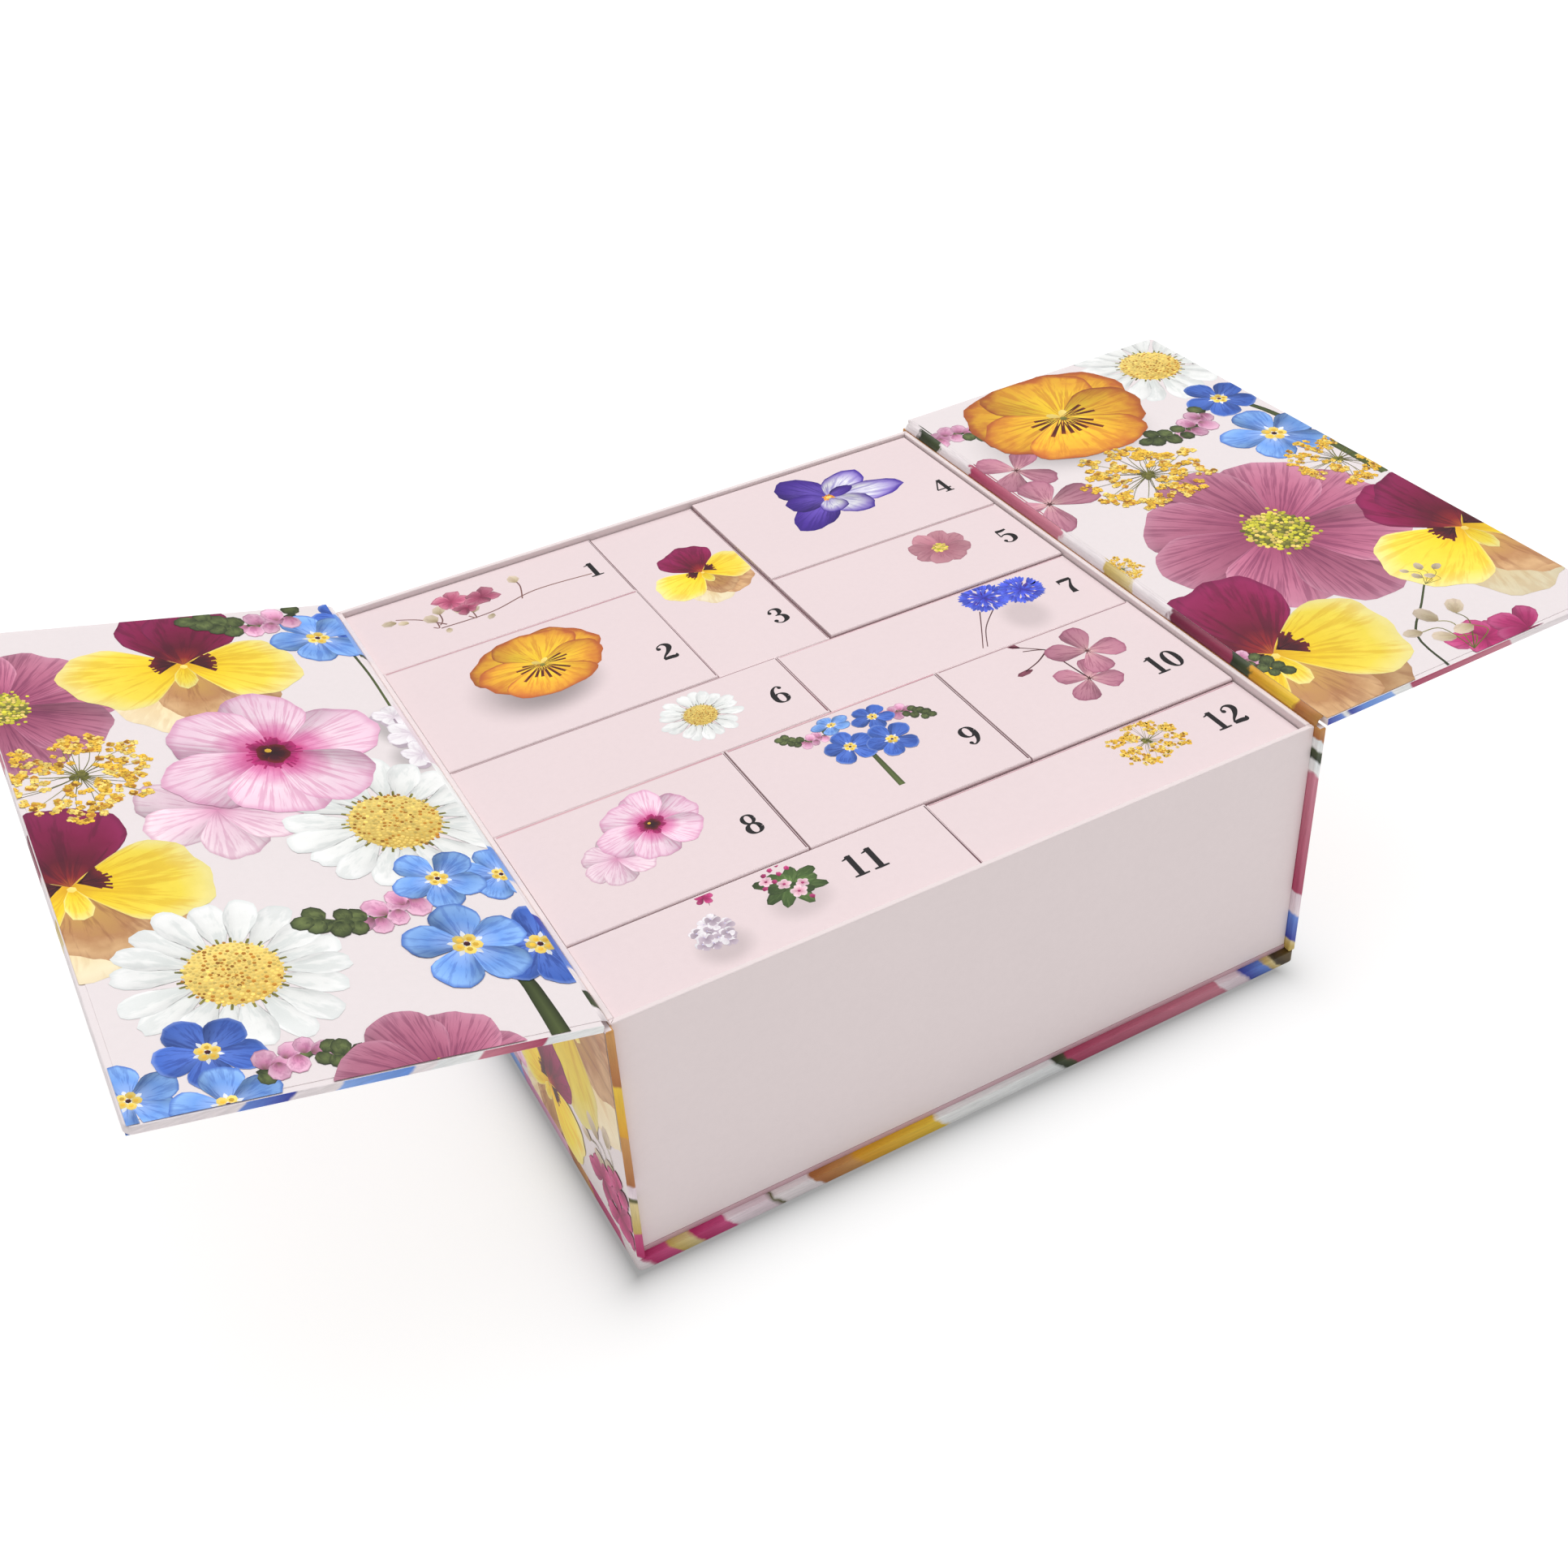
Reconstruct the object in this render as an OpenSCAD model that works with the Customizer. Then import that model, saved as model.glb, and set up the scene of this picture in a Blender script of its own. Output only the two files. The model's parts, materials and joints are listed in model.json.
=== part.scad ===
// Rigid card gift box with two doors that open to left and right over a tray
// of twelve numbered cartons. X runs along the front, Y to the back, Z up.

/* [Tray] */
// Outside width of the tray, between its side boards
tray_w = 260; // [200:5:340]
// Outside depth of the tray, front to back
tray_d = 254; // [200:5:340]
// Height of the tray from its floor's underside to its rim
tray_h = 101; // [60:1:160]
// Thickness of the tray's walls
tray_wall = 2; // [1.6:0.1:4]
// Thickness of the tray's floor
tray_floor_t = 2; // [1:0.1:4]

/* [Case boards] */
// Thickness of the doors and the side boards
board_t = 2.8; // [2.2:0.1:5]
// Thickness of the base board
base_t = 5.4; // [2:0.1:8]
// How far the case stands past the tray at the front and the back
case_lip = 2.6; // [0:0.1:6]
// Radius of the base board's upright corners
base_corner_r = 2; // [0.5:0.1:2.4]

/* [Doors] */
// How far the left door is raised from lying flat open, in degrees
left_raise = 14.5; // [0:0.5:60]
// How far the right door is raised from lying flat open, in degrees
right_raise = 1; // [0:0.5:60]
// Gap between a closed door's board and the tray's rim
door_rest_gap = 0.5; // [0.4:0.1:1.5]
// Gap from the hinge line to the door board's edge
hinge_gap = 0.2; // [0.1:0.05:1]
// Gap between the two closed doors
door_meet_gap = 1; // [0.4:0.1:4]
// Radius of the doors' corners
door_corner_r = 2.5; // [0.5:0.1:8]
// Thickness of the printed paper lining
liner_t = 0.2; // [0.1:0.05:0.3]
// Margin of the lining from the door's free edges
liner_margin = 2.2; // [1:0.1:6]

/* [Magnets] */
// Length of a bar magnet and of a steel plate
magnet_l = 20; // [8:1:40]
// Width of a bar magnet and of a steel plate
magnet_w = 8; // [4:0.5:12]
// Thickness of a bar magnet
magnet_t = 1.2; // [0.6:0.1:1.6]
// Thickness of a steel plate in the tray wall
plate_t = 0.6; // [0.4:0.1:1]
// Distance from the doors' meeting line to a magnet
magnet_inset = 10; // [4:1:40]
// Skin of board between a steel plate and the rim
plate_depth = 1.2; // [0.6:0.1:4]
// Clearance all round a magnet or plate in its pocket
pocket_clear = 0.1; // [0.05:0.05:0.2]

/* [Carton rows] */
// Depth of the front row of two cartons
front_row_d = 35.6; // [24:0.2:60]
// Depth of the second row of three cartons
second_row_d = 59.4; // [30:0.2:80]
// Depth of the third row of two cartons
third_row_d = 40; // [24:0.2:60]
// Depth of the two shallow cartons in the back block
shallow_d = 46; // [24:0.5:80]
// Width of the deep upright carton in the back block
centre_w = 46.6; // [30:0.2:90]

/* [Cartons] */
// Thickness of the carton board
carton_t = 0.8; // [0.4:0.1:1.2]
// Gap between a carton and its neighbour
carton_gap = 0.8; // [0.5:0.1:3]
// Gap between a carton and the tray's walls
tray_gap = 0.6; // [0.5:0.1:3]
// Gap between a lid and the top of its carton's walls
lid_seat = 0.2; // [0.1:0.05:0.5]
// How far a lid's tuck flap reaches down
tuck_l = 10; // [6:0.5:14]
// How far the end of a tuck flap leans inwards
tuck_lean = 2.2; // [2:0.1:5]
// Gap between a tuck flap and the carton's walls
tuck_gap = 0.4; // [0.3:0.1:1]

/* [Hidden] */
CARTONS = [for (n = [1:12]) str("carton_", n)];
LIDS = [for (n = [1:12]) str("carton_lid_", n)];

$fn = 32;
eps = 0.01;
paper = "mistyrose";
kraft = "tan";
steel = "silver";
dark = "dimgray";

// Heights and widths that the boards share
rim_z = base_t + tray_h;
floor_z = base_t + tray_floor_t;
case_w = tray_w + 2 * board_t;
case_d = tray_d + 2 * case_lip;
inner_w = tray_w - 2 * tray_wall;
inner_d = tray_d - 2 * tray_wall;

// A door turns about a line level with the middle of its board
hinge_x = case_w / 2;
hinge_z = rim_z + door_rest_gap + board_t / 2;
door_w = hinge_x - hinge_gap - door_meet_gap / 2;

// Lines that divide the tray into cells
y_front = -inner_d / 2;
y_second = y_front + front_row_d;
y_third = y_second + second_row_d;
y_block = y_third + third_row_d;
y_back = inner_d / 2;
x_left = -inner_w / 2;
x_right = inner_w / 2;
x_third = inner_w / 6;
x_centre = centre_w / 2;

// Each cell: left, right, front, back, and how far its carton stands below the rim
CELLS = [
    [x_left, -x_centre, y_back - shallow_d, y_back, 2.2],
    [x_left, -x_centre, y_block, y_back - shallow_d, 1.8],
    [-x_centre, x_centre, y_block, y_back, 2.8],
    [x_centre, x_right, y_block + shallow_d, y_back, 1.4],
    [x_centre, x_right, y_block, y_block + shallow_d, 1.6],
    [x_left, 0, y_third, y_block, 2],
    [0, x_right, y_third, y_block, 2.6],
    [x_left, -x_third, y_second, y_third, 1.6],
    [-x_third, x_third, y_second, y_third, 1.8],
    [x_third, x_right, y_second, y_third, 2],
    [x_left, 0, y_front, y_second, 2],
    [0, x_right, y_front, y_second, 3],
];

// The gap that a cell keeps on a side: half the neighbours' gap, or the tray's
function side_gap(at, edge) = abs(abs(at) - edge) < eps ? tray_gap : carton_gap / 2;
function carton_x(c) = [c[0] + side_gap(c[0], x_right), c[1] - side_gap(c[1], x_right)];
function carton_y(c) = [c[2] + side_gap(c[2], y_back), c[3] - side_gap(c[3], y_back)];
function carton_top(c) = rim_z - c[4];

// Points along an arc about a centre, from one angle to another
function arc(centre, r, from, to, steps = 8) =
    [for (i = [0:steps]) centre + r * [cos(from + (to - from) * i / steps),
                                       sin(from + (to - from) * i / steps)]];

// Outline with two rounded corners on its +X side
module free_edge_outline(w, d, r) {
    translate([0, -d / 2]) square([w - r, d]);
    translate([0, r - d / 2]) square([w, d - 2 * r]);
    for (side = [-1, 1]) translate([w - r, side * (d / 2 - r)]) circle(r);
}

// Puts a child, drawn as a right-hand door lying flat open, at its own side and tilt
module door_place(side, raise) {
    mirror([side < 0 ? 1 : 0, 0, 0])
        translate([hinge_x, 0, hinge_z]) rotate([0, -raise, 0]) children();
}

module magnet_bars(grow) {
    size = [magnet_l, magnet_w, magnet_t] + 2 * grow * [1, 1, 1];
    for (side = [-1, 1])
        translate([hinge_x - magnet_inset - magnet_l / 2, side * (tray_d / 2 - magnet_w / 2), 0])
            cube(size, center = true);
}

module plates(grow) {
    size = [magnet_l + 2 * grow, plate_t + 2 * grow, magnet_w + 2 * grow];
    for (end = [-1, 1], side = [-1, 1])
        translate([side * (magnet_inset + magnet_l / 2), end * (tray_d - tray_wall) / 2,
                   rim_z - plate_depth - magnet_w / 2])
            cube(size, center = true);
}

module base_board() {
    color(paper) linear_extrude(base_t) {
        square([case_w - 2 * base_corner_r, case_d], center = true);
        square([case_w, case_d - 2 * base_corner_r], center = true);
        for (x = [-1, 1], y = [-1, 1])
            translate([x * (case_w / 2 - base_corner_r), y * (case_d / 2 - base_corner_r)])
                circle(base_corner_r);
    }
}

module side_board(side) {
    color(paper) translate([side * (tray_w + board_t) / 2, 0, base_t + tray_h / 2])
        cube([board_t, case_d, tray_h], center = true);
}

module door(side, raise) {
    color(paper) door_place(side, raise) difference() {
        translate([hinge_gap, 0, -board_t / 2]) linear_extrude(board_t)
            free_edge_outline(door_w, case_d, door_corner_r);
        magnet_bars(pocket_clear);
    }
}

module door_liner(side, raise) {
    color("lavenderblush") door_place(side, raise)
        translate([hinge_gap, 0, board_t / 2]) linear_extrude(liner_t)
            free_edge_outline(door_w - liner_margin, case_d - 2 * liner_margin, door_corner_r / 2);
}

// Paper strip that rises from the side board and turns over on to the door
module hinge_paper(side, raise) {
    reach = [-(board_t / 2) * sin(raise), (board_t / 2 + liner_t) * cos(raise)];
    start = [-board_t + liner_t, rim_z - hinge_z];
    rise = reach[1] - start[1];
    run = reach[0] - start[0];
    outer = [for (a = [180:-10:90]) [start[0] + run + run * cos(a), start[1] + rise * sin(a)]];
    inner = [for (a = [90:10:180])
        [start[0] + run + (run - liner_t) * cos(a), start[1] + (rise - liner_t) * sin(a)]];
    color("lavenderblush") mirror([side < 0 ? 1 : 0, 0, 0])
        translate([hinge_x, case_d / 2 - liner_margin, hinge_z]) rotate([90, 0, 0])
            linear_extrude(case_d - 2 * liner_margin) polygon(concat(outer, inner));
}

module door_magnets(side, raise) {
    color(dark) door_place(side, raise) magnet_bars(0);
}

module closure_plates() {
    color(steel) plates(0);
}

module tray_floor() {
    color(kraft) translate([0, 0, base_t + tray_floor_t / 2])
        cube([tray_w, tray_d, tray_floor_t], center = true);
}

// Front or back wall, across the tray's whole width, with pockets for its plates
module tray_end(end) {
    color(paper) difference() {
        translate([0, end * (tray_d - tray_wall) / 2, (floor_z + rim_z) / 2])
            cube([tray_w, tray_wall, rim_z - floor_z], center = true);
        plates(pocket_clear);
    }
}

// Left or right wall, between the front and back walls
module tray_side(side) {
    color(paper) translate([side * (tray_w - tray_wall) / 2, 0, (floor_z + rim_z) / 2])
        cube([tray_wall, inner_d, rim_z - floor_z], center = true);
}

module carton(cell) {
    x = carton_x(cell);
    y = carton_y(cell);
    wall_top = carton_top(cell) - carton_t - lid_seat;
    color("pink") difference() {
        translate([x[0], y[0], floor_z])
            cube([x[1] - x[0], y[1] - y[0], wall_top - floor_z]);
        translate([x[0] + carton_t, y[0] + carton_t, floor_z + carton_t])
            cube([x[1] - x[0] - 2 * carton_t, y[1] - y[0] - 2 * carton_t, wall_top - floor_z]);
    }
}

// Lid panel that folds along its back edge, with a tuck flap inside the front wall
module carton_lid(cell) {
    x = carton_x(cell);
    y = carton_y(cell);
    top = carton_top(cell);
    flap_y = y[0] + carton_t + tuck_gap;
    flap_side = carton_t + tuck_gap;
    color("lightpink") {
        translate([x[0], y[0], top - carton_t]) cube([x[1] - x[0], y[1] - y[0], carton_t]);
        translate([x[0] + flap_side, 0, 0]) rotate([90, 0, 90])
            linear_extrude(x[1] - x[0] - 2 * flap_side) polygon([
                [flap_y, top - carton_t / 2],
                [flap_y, top - carton_t],
                [flap_y + tuck_lean, top - carton_t - tuck_l],
                [flap_y + tuck_lean + carton_t, top - carton_t - tuck_l],
                [flap_y + carton_t, top - carton_t],
                [flap_y + carton_t, top - carton_t / 2],
            ]);
    }
}

base_board();
side_board(-1);  // side_board_left
side_board(1);  // side_board_right
door(-1, left_raise);  // door_left
door(1, right_raise);  // door_right
door_liner(-1, left_raise);  // door_liner_left
door_liner(1, right_raise);  // door_liner_right
hinge_paper(-1, left_raise);  // hinge_paper_left
hinge_paper(1, right_raise);  // hinge_paper_right
door_magnets(-1, left_raise);  // door_magnets_left
door_magnets(1, right_raise);  // door_magnets_right
closure_plates();
tray_floor();
tray_end(-1);  // tray_front
tray_end(1);  // tray_back
tray_side(-1);  // tray_left
tray_side(1);  // tray_right
for (n = [0:11]) {
    carton(CELLS[n]);
    carton_lid(CELLS[n]);
}
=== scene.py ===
import json
import math
import random

import bmesh
import bpy
from mathutils import Matrix, Vector

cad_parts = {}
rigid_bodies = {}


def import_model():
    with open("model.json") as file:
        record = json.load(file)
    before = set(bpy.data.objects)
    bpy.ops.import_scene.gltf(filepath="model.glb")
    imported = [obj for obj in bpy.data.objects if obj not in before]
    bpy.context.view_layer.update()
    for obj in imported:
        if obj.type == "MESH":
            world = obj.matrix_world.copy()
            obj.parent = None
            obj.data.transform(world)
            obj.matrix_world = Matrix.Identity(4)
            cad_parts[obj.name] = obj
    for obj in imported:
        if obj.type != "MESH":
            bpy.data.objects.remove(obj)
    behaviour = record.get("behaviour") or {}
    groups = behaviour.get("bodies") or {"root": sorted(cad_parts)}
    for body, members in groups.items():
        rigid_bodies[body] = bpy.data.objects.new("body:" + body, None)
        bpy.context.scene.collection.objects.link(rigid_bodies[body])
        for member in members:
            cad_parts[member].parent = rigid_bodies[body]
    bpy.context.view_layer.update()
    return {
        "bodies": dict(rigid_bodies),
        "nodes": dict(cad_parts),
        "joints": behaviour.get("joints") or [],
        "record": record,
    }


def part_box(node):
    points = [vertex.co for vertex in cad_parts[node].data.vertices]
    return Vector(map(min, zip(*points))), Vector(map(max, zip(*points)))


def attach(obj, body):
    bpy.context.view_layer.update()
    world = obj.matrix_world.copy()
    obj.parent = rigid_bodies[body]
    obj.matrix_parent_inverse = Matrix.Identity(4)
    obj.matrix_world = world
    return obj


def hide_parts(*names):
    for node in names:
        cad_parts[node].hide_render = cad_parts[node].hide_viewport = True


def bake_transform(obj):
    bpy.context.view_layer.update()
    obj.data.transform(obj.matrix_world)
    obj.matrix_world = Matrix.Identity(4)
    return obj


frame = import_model()
mm = 0.001

view = {
    "place": (-0.25428, -0.48738, 0.49298),
    "turn": 25.15,                              # degrees round to the right of straight back
    "dip": 33.99,                               # degrees below level
    "roll": -4.57,
    "lens": 42.77,
    "shift": (0.0393, -0.0963),
}


def placeCamera():
    turn, dip, roll = (math.radians(view[key]) for key in ("turn", "dip", "roll"))
    ahead = Vector((math.sin(turn) * math.cos(dip), math.cos(turn) * math.cos(dip), -math.sin(dip)))
    right = Vector((math.cos(turn), -math.sin(turn), 0))
    up = right.cross(ahead)
    rolledRight = right * math.cos(roll) + up * math.sin(roll)
    rolledUp = up * math.cos(roll) - right * math.sin(roll)
    camera = bpy.data.objects.new("camera", bpy.data.cameras.new("camera"))
    camera.matrix_world = Matrix.Translation(view["place"]) @ Matrix(
        (rolledRight, rolledUp, -ahead)).transposed().to_4x4()
    camera.data.sensor_width = 36
    camera.data.lens = view["lens"]
    camera.data.shift_x, camera.data.shift_y = view["shift"]
    camera.data.clip_start = 0.02
    camera.data.clip_end = 60
    bpy.context.scene.collection.objects.link(camera)
    bpy.context.scene.camera = camera


placeCamera()
bpy.context.scene.view_settings.view_transform = "Standard"
print("stage: camera placed")


def low(node):
    return Vector(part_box(node)[0]) / mm


def high(node):
    return Vector(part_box(node)[1]) / mm


case = {
    "boardThick": 2.8,
    "hingeGap": 0.2,
    "meetGap": 1.0,
    "linerThick": 0.2,
    "linerMargin": 2.2,
    "printMargin": 0.6,                         # from the edge of a door to the printing on its inside
    "outsideMargin": 0.5,                       # the same on its outside
    "raise": {-1: 14.5, 1: 1.0},                # each door's lift from flat, in degrees
    "cornerRound": 2.5,
}
rimZ = high("tray_front").z
hingeX = high("side_board_right").x
hingeZ = rimZ + 0.5 + case["boardThick"] / 2
caseDepth = high("base_board").y - low("base_board").y
halfDeep = caseDepth / 2
doorWide = hingeX - case["hingeGap"] - case["meetGap"] / 2
trayCorner = Vector((low("tray_front").x, high("tray_back").y, rimZ))
sides = ((-1, "left"), (1, "right"))


def doorWays(side):                             # away from a door's hinge, and square to its inside
    lift = math.radians(case["raise"][side])
    return (Vector((side * math.cos(lift), 0, math.sin(lift))),
            Vector((-side * math.sin(lift), 0, math.cos(lift))))


def tint(red, green, blue):                     # screen values, 0 to 255
    parts = [value / 255 for value in (red, green, blue)]
    return tuple(p / 12.92 if p <= 0.04045 else ((p + 0.055) / 1.055) ** 2.4 for p in parts) + (1,)


class Wire:                                     # an output socket that can be used in a sum
    def __init__(self, finish, socket):
        self.finish = finish
        self.socket = socket

    def calc(self, operation, first, second):
        return self.finish.add("ShaderNodeMath", {"operation": operation}, {0: first, 1: second})

    def __add__(self, other):
        return self.calc("ADD", self, other)

    def __radd__(self, other):
        return self.calc("ADD", other, self)

    def __sub__(self, other):
        return self.calc("SUBTRACT", self, other)

    def __rsub__(self, other):
        return self.calc("SUBTRACT", other, self)

    def __mul__(self, other):
        return self.calc("MULTIPLY", self, other)

    def __rmul__(self, other):
        return self.calc("MULTIPLY", other, self)

    def __truediv__(self, other):
        return self.calc("DIVIDE", self, other)

    def __rpow__(self, other):
        return self.calc("POWER", other, self)

    def __abs__(self):
        return self.calc("ABSOLUTE", self, 0.0)


class Finish:                                   # one material and its nodes
    def __init__(self, name, roughness=0.45, gloss=0.3):
        self.material = bpy.data.materials.new(name)
        self.material.use_nodes = True
        self.tree = self.material.node_tree
        self.surface = self.tree.nodes["Principled BSDF"]
        self.surface.inputs["Roughness"].default_value = roughness
        self.surface.inputs["Specular IOR Level"].default_value = gloss
        self.place = self.add("ShaderNodeTexCoord", out=3)      # the piece's own metres

    def feed(self, socket, value):
        if isinstance(value, Wire):
            self.tree.links.new(value.socket, socket)
        else:
            socket.default_value = value

    def add(self, kind, settings=None, inputs=None, out=0):
        made = self.tree.nodes.new(kind)
        for key, value in (settings or {}).items():
            if key == "stops":
                ramp = made.color_ramp
                while len(ramp.elements) < len(value):
                    ramp.elements.new(0.5)
                for element, (place, colour) in zip(ramp.elements, value):
                    element.position = place
                    element.color = colour
            else:
                setattr(made, key, value)
        for key, value in (inputs or {}).items():
            self.feed(made.inputs[key], value)
        return Wire(self, made.outputs[out])

    def mix(self, share, first, second):
        return self.add("ShaderNodeMix", {"data_type": "RGBA"}, {0: share, 6: first, 7: second}, 2)

    def vector(self, operation, first, second=None, out=0):
        inputs = {0: first} if second is None else {0: first, 1: second}
        return self.add("ShaderNodeVectorMath", {"operation": operation}, inputs, out)

    def shaded(self, colour, light):
        return self.add("ShaderNodeVectorMath", {"operation": "SCALE"}, {0: colour, "Scale": light})

    def noise(self, scale, detail=2.0, rough=0.5, at=None):
        return self.add("ShaderNodeTexNoise", {"noise_dimensions": "3D"}, {
            "Vector": at or self.place, "Scale": scale, "Detail": detail, "Roughness": rough})

    def grain(self):
        return self.noise(paperLook["grainSize"], 3.0, 0.6)

    def soft(self, value, start, end):          # from 0 at start to 1 at end
        return self.add("ShaderNodeMapRange", {"interpolation_type": "SMOOTHSTEP"},
                        {0: value, 1: start, 2: end, 3: 0.0, 4: 1.0})

    def done(self, colour, height=None, strength=0.14, distance=0.00004):
        self.feed(self.surface.inputs["Base Color"], colour)
        if height is not None:
            bump = self.add("ShaderNodeBump", {}, {"Strength": strength, "Distance": distance,
                                                   "Height": height})
            self.feed(self.surface.inputs["Normal"], bump)
        return self


paperLook = {
    "wrapGround": tint(240, 230, 231),
    "linerGround": tint(239, 229, 230),
    "card": tint(238, 219, 221),
    "side": tint(233, 203, 208),
    "tray": tint(240, 226, 226),
    "trayInside": tint(216, 180, 188),
    "inside": tint(226, 219, 214),
    "grainSize": 2600,                          # grains in a metre
    "fibreSize": 420.0,
    "cloudSize": 26.0,
    "mottle": 0.03,
}


def paper(name, colour, roughness=0.45, shadows=(), grain=1.0):
    finish = Finish(name, roughness)
    fine = finish.grain()
    cloud = finish.noise(paperLook["cloudSize"], 3.0)
    fibre = finish.noise(paperLook["fibreSize"])
    shade = 1.0 - paperLook["mottle"] * (cloud - 0.5) - 0.05 * (fine - 0.5) - 0.035 * (fibre - 0.5)
    for x, y, reachX, reachY, depth in shadows:
        away = finish.vector("SUBTRACT", finish.place, (x * mm, y * mm, 0))
        away = finish.vector("MULTIPLY", away, (1 / (reachX * mm), 1 / (reachY * mm), 0))
        reach = finish.vector("LENGTH", away, out=1)
        shade = shade * (1.0 - depth * finish.soft(reach, 1.0, 0.35))
    finish.feed(finish.surface.inputs["Roughness"], roughness + 0.12 * (fibre - 0.5))
    return finish.done(finish.shaded(colour[:3], shade), fine + 0.6 * fibre, 0.16 * grain)


def steelFinish(name, colour, roughness):
    finish = Finish(name, roughness)
    finish.surface.inputs["Metallic"].default_value = 1.0
    drawn = finish.add("ShaderNodeMapping", {}, {"Vector": finish.place, "Scale": (40, 900, 900)})
    scratch = finish.noise(3.0, 4.0, at=drawn)
    cloud = finish.noise(300.0)
    finish.feed(finish.surface.inputs["Roughness"], roughness + 0.2 * (scratch - 0.5))
    return finish.done(finish.mix(cloud, colour, tint(120, 118, 116)), scratch, 0.1, 0.00002)


wrapPaper = paper("wrapped_board", paperLook["wrapGround"], 0.42)
trayPaper = paper("tray_paper", paperLook["tray"], 0.5)
trayLining = paper("tray_lining", paperLook["trayInside"], 0.55)
cartonSide = paper("carton_side", paperLook["side"], 0.46)
cardInside = paper("carton_inside", paperLook["inside"], 0.7, grain=1.6)
magnetSteel = steelFinish("magnet", tint(150, 150, 152), 0.35)
plateSteel = steelFinish("plate_steel", tint(190, 190, 190), 0.3)


# papers whose printing turns over an edge: flower colours in bands, each up to its end in mm
bandTones = {
    "ground": ((240, 230, 231), (238, 228, 230)), "white": ((246, 246, 244), (236, 238, 238)),
    "pale": ((240, 224, 230), (232, 212, 220)), "pink": ((176, 66, 100), (206, 128, 146)),
    "magenta": ((186, 40, 104), (206, 78, 132)), "maroon": ((112, 30, 60), (150, 56, 84)),
    "straw": ((206, 178, 96), (224, 204, 148)), "olive": ((84, 82, 40), (98, 96, 50)),
    "tan": ((176, 108, 56), (206, 150, 84)), "yellow": ((222, 160, 36), (240, 200, 60)),
    "green": ((44, 54, 34), (70, 80, 50)), "blue": ((58, 66, 168), (104, 140, 220)),
    "sky": ((104, 148, 226), (140, 176, 238)), "black": ((52, 40, 24), (90, 70, 30)),
    "lilac": ((208, 130, 176), (234, 186, 210)),
}


def bandPaper(name, along, origin, bands, slant, wobble=3.0):
    finish = Finish(name, 0.42)
    length = bands[-1][1]
    stops, before = [], 0.0
    for kind, end in bands:
        soft = min(0.5, (end - before) / 4)
        for at, colour in zip((before + soft, end - soft), bandTones[kind]):
            stops.append((at / length, tint(*colour)))
        before = end
    line = Vector(along) + Vector(slant)
    run = finish.vector("DOT_PRODUCT", finish.place, line, 1)
    wander = finish.noise(260.0)
    share = (run / mm - line.dot(Vector(origin)) + wobble * (wander - 0.5)) / length
    colour = finish.add("ShaderNodeValToRGB", {"stops": stops}, {0: share})
    pulled = finish.add("ShaderNodeMapping", {}, {
        "Vector": finish.place, "Scale": [1500 - 1380 * abs(part) for part in along]})
    streak = finish.noise(1.0, 3.0, 0.6, pulled)
    grain = finish.grain()
    light = 1.0 + 0.5 * (streak - 0.5) + 0.08 * (grain - 0.5)
    return finish.done(finish.shaded(colour, light), grain)


baseBands = {
    "front": ((1, 0, 0), (-hingeX, 0, 0), [
        ("ground", 6), ("magenta", 16), ("straw", 24), ("magenta", 36), ("pale", 52), ("olive", 53.6),
        ("ground", 68), ("tan", 84), ("yellow", 116), ("white", 164), ("green", 169.5), ("pink", 235),
        ("pale", 246), ("blue", 256), ("straw", 260), ("black", 265.6)]),
    "left": ((0, -1, 0), (0, halfDeep, 0), [
        ("pink", 60), ("white", 98), ("yellow", 140), ("sky", 168), ("lilac", 208), ("tan", 226),
        ("magenta", 250), ("ground", 259.2)]),
    "right": ((0, 1, 0), (0, -halfDeep, 0), [
        ("black", 6), ("blue", 24), ("pink", 80), ("white", 120), ("lilac", 160), ("yellow", 200),
        ("maroon", 240), ("sky", 259.2)]),
    "back": ((-1, 0, 0), (hingeX, 0, 0), [
        ("maroon", 38), ("white", 88), ("sky", 130), ("pink", 190), ("yellow", 230), ("lilac", 265.6)]),
}
sideBands = {
    "left": [("ground", 2), ("magenta", 14), ("straw", 28), ("olive", 30), ("pale", 36), ("tan", 58),
             ("yellow", 80), ("tan", 101)],
    "right": [("straw", 3), ("blue", 16), ("pale", 26), ("pink", 80), ("white", 85), ("green", 90),
              ("white", 94), ("tan", 101)],
}
doorBands = {                                   # along the front edge from the hinge, and from the back
    "left": ([("white", 22), ("pink", 46), ("white", 62), ("ground", 70), ("sky", 94), ("ground", 110),
              ("blue", 126), ("ground", 132)],
             [("ground", 70), ("pink", 90), ("ground", 128), ("maroon", 150), ("ground", 172), ("straw", 184),
              ("ground", 259.2)]),
    "right": ([("blue", 8), ("white", 10), ("blue", 17), ("sky", 30), ("white", 38), ("pink", 84),
               ("ground", 132)],
              [("white", 40), ("sky", 80), ("straw", 130), ("maroon", 180), ("yellow", 220),
               ("ground", 259.2)]),
}
hingeBands = {                                  # from the back of the case to its front
    "left": [("ground", 8), ("sky", 40), ("green", 43), ("ground", 78), ("pale", 118), ("white", 168),
             ("sky", 186), ("ground", 204), ("blue", 232), ("ground", 242), ("green", 250),
             ("ground", 259.2)],
    "right": [("ground", 10), ("green", 26), ("ground", 50), ("pink", 112), ("ground", 140), ("straw", 156),
              ("ground", 178), ("maroon", 212), ("green", 222), ("yellow", 244), ("tan", 259.2)],
}
wrapBands = {}
upSlant = (0, 0, 0.9)
for word, (along, origin, bands) in baseBands.items():
    wrapBands["base_" + word] = bandPaper("wrap_base_" + word, along, origin, bands, upSlant)
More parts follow.
